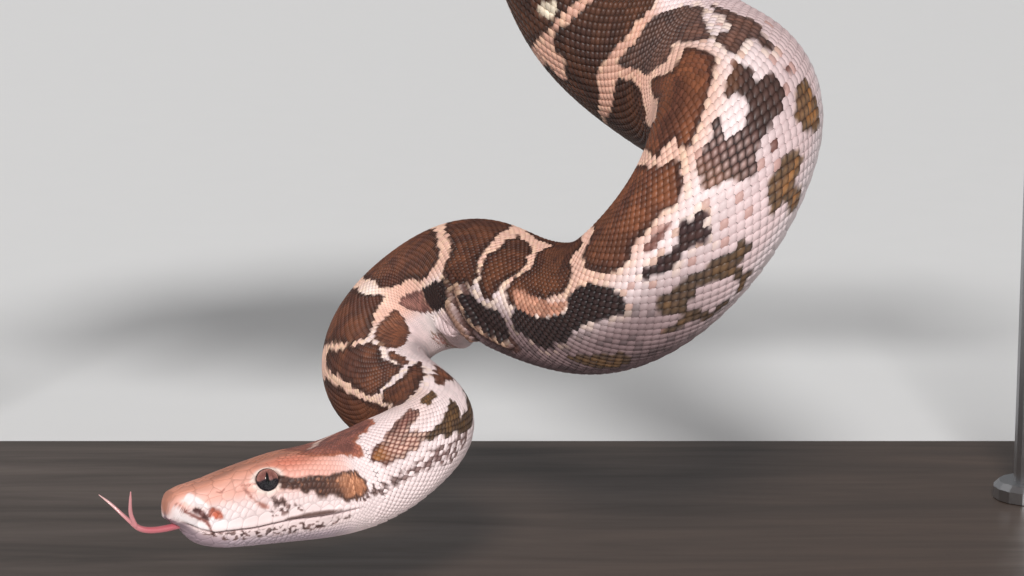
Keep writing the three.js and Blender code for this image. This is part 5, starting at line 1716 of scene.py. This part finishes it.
# ---------------------------------------------------------------- add-on
class PythonSettings(bpy.types.PropertyGroup):
    """Sizes of the snake's skin and scales."""

    head_ring: FloatProperty(
        name="Head ring", description="Gap between rings of the head's skin in mm", default=0.5, min=0.25
    )
    body_ring: FloatProperty(
        name="Body ring", description="Gap between rings of the body's skin in mm", default=3.3, min=1.0
    )
    columns: IntProperty(name="Columns", description="Points round the body's skin", default=96, min=16)
    lift: FloatProperty(
        name="Scale height", description="Height of the body's scales, 1 as in life", default=1.0, min=0.1
    )
    rim_shade: FloatProperty(
        name="Rim shade", description="How bright a scale's rim is", default=0.79, min=0.0, max=1.0
    )
    scute_pitch: FloatProperty(
        name="Belly pitch", description="Belly scale length as a share of the half width", default=0.18
    )
    plate_gap: FloatProperty(
        name="Plate gap", description="Half the gap between head plates in mm", default=0.035
    )
    plate_lift: FloatProperty(
        name="Plate height", description="Height of the head plates, 1 as in life", default=1.0
    )
    pupil_width: FloatProperty(
        name="Pupil width", description="Half width of the pupil as a share of the eye", default=0.13
    )
    tongue_girth: FloatProperty(
        name="Tongue girth", description="Girth of the tongue, 1 as in life", default=1.0
    )
    bark_depth: FloatProperty(name="Bark depth", description="Depth of the bark in mm", default=0.9)
    seed: IntProperty(name="Seed", description="Start of every random choice", default=20)


class StageSettings(bpy.types.PropertyGroup):
    """Light and camera."""

    floor_radius: FloatProperty(
        name="Floor radius", description="Radius of the floor", default=14.0, unit="LENGTH"
    )
    key_power: FloatProperty(name="Key", description="Strength of the key light", default=3.0)
    key_softness: FloatProperty(
        name="Key softness", description="Degrees across which the key light spreads", default=13.0
    )
    fill_power: FloatProperty(name="Fill", description="Strength of the fill light", default=0.45)
    back_power: FloatProperty(name="Back", description="Strength of the back light", default=0.5)
    world_strength: FloatProperty(name="World", description="Brightness of the surroundings", default=0.2)
    lens: FloatProperty(name="Lens", description="Focal length in mm", default=90.0)
    camera_down: FloatProperty(name="Camera tilt", description="Degrees the camera looks down", default=10.0)
    camera_place: FloatVectorProperty(
        name="Camera place",
        description="Where the camera stands",
        default=(0.044, -0.8613, 0.2454),
        subtype="TRANSLATION",
    )


def operator(name, label, doc, action, group="python_settings"):
    """An operator class that runs one build function with its settings."""

    def execute(self, context):
        action(getattr(context.scene, group))
        return {"FINISHED"}

    parts = {"bl_idname": f"pythonmodel.{name}", "bl_label": label, "__doc__": doc, "execute": execute}
    return type(f"PYTHONMODEL_OT_{name}", (bpy.types.Operator,), parts)


OPERATORS = [
    operator("skin", "Skin", "Builds the skin under the scales", build_skin),
    operator("scales", "Scales", "Builds the scales of back and flanks", build_scales),
    operator("belly", "Belly scales", "Builds the broad belly scales", build_belly),
    operator("head", "Head plates", "Builds the plates of the head", build_head_plates),
    operator("eyes", "Eyes", "Builds both eyes", build_eyes),
    operator("tongue", "Tongue", "Builds the forked tongue", build_tongue),
    operator("branch", "Branch", "Builds the perch branch", build_branch),
    operator("stand", "Stand", "Gives the stand its finishes", dress_stand),
    operator("stage", "Stage", "Builds floor, lights and camera", build_stage, "stage_settings"),
]


class PYTHONMODEL_PT_panel(bpy.types.Panel):
    """Buttons that build each part, with their settings."""

    bl_label = "Python model"
    bl_idname = "PYTHONMODEL_PT_panel"
    bl_space_type = "VIEW_3D"
    bl_region_type = "UI"
    bl_category = "Python"

    def draw(self, context):
        for settings in (context.scene.python_settings, context.scene.stage_settings):
            for name in settings.__annotations__:
                self.layout.prop(settings, name)
        for made in OPERATORS:
            self.layout.operator(made.bl_idname)


CLASSES = [PythonSettings, StageSettings, *OPERATORS, PYTHONMODEL_PT_panel]


def register():
    """Registers the add-on's classes and its settings."""
    for made in CLASSES:
        bpy.utils.register_class(made)
    bpy.types.Scene.python_settings = PointerProperty(type=PythonSettings)
    bpy.types.Scene.stage_settings = PointerProperty(type=StageSettings)


def unregister():
    """Takes the settings and classes out again."""
    del bpy.types.Scene.stage_settings
    del bpy.types.Scene.python_settings
    for made in reversed(CLASSES):
        bpy.utils.unregister_class(made)


def main():
    """Registers the add-on, builds every piece in order and writes the sizes."""
    register()
    for made in OPERATORS:
        group, name = made.bl_idname.split(".")
        if getattr(getattr(bpy.ops, group), name)() != {"FINISHED"}:
            raise RuntimeError(f"{made.bl_idname} did not finish")


if __name__ == "__main__":
    main()
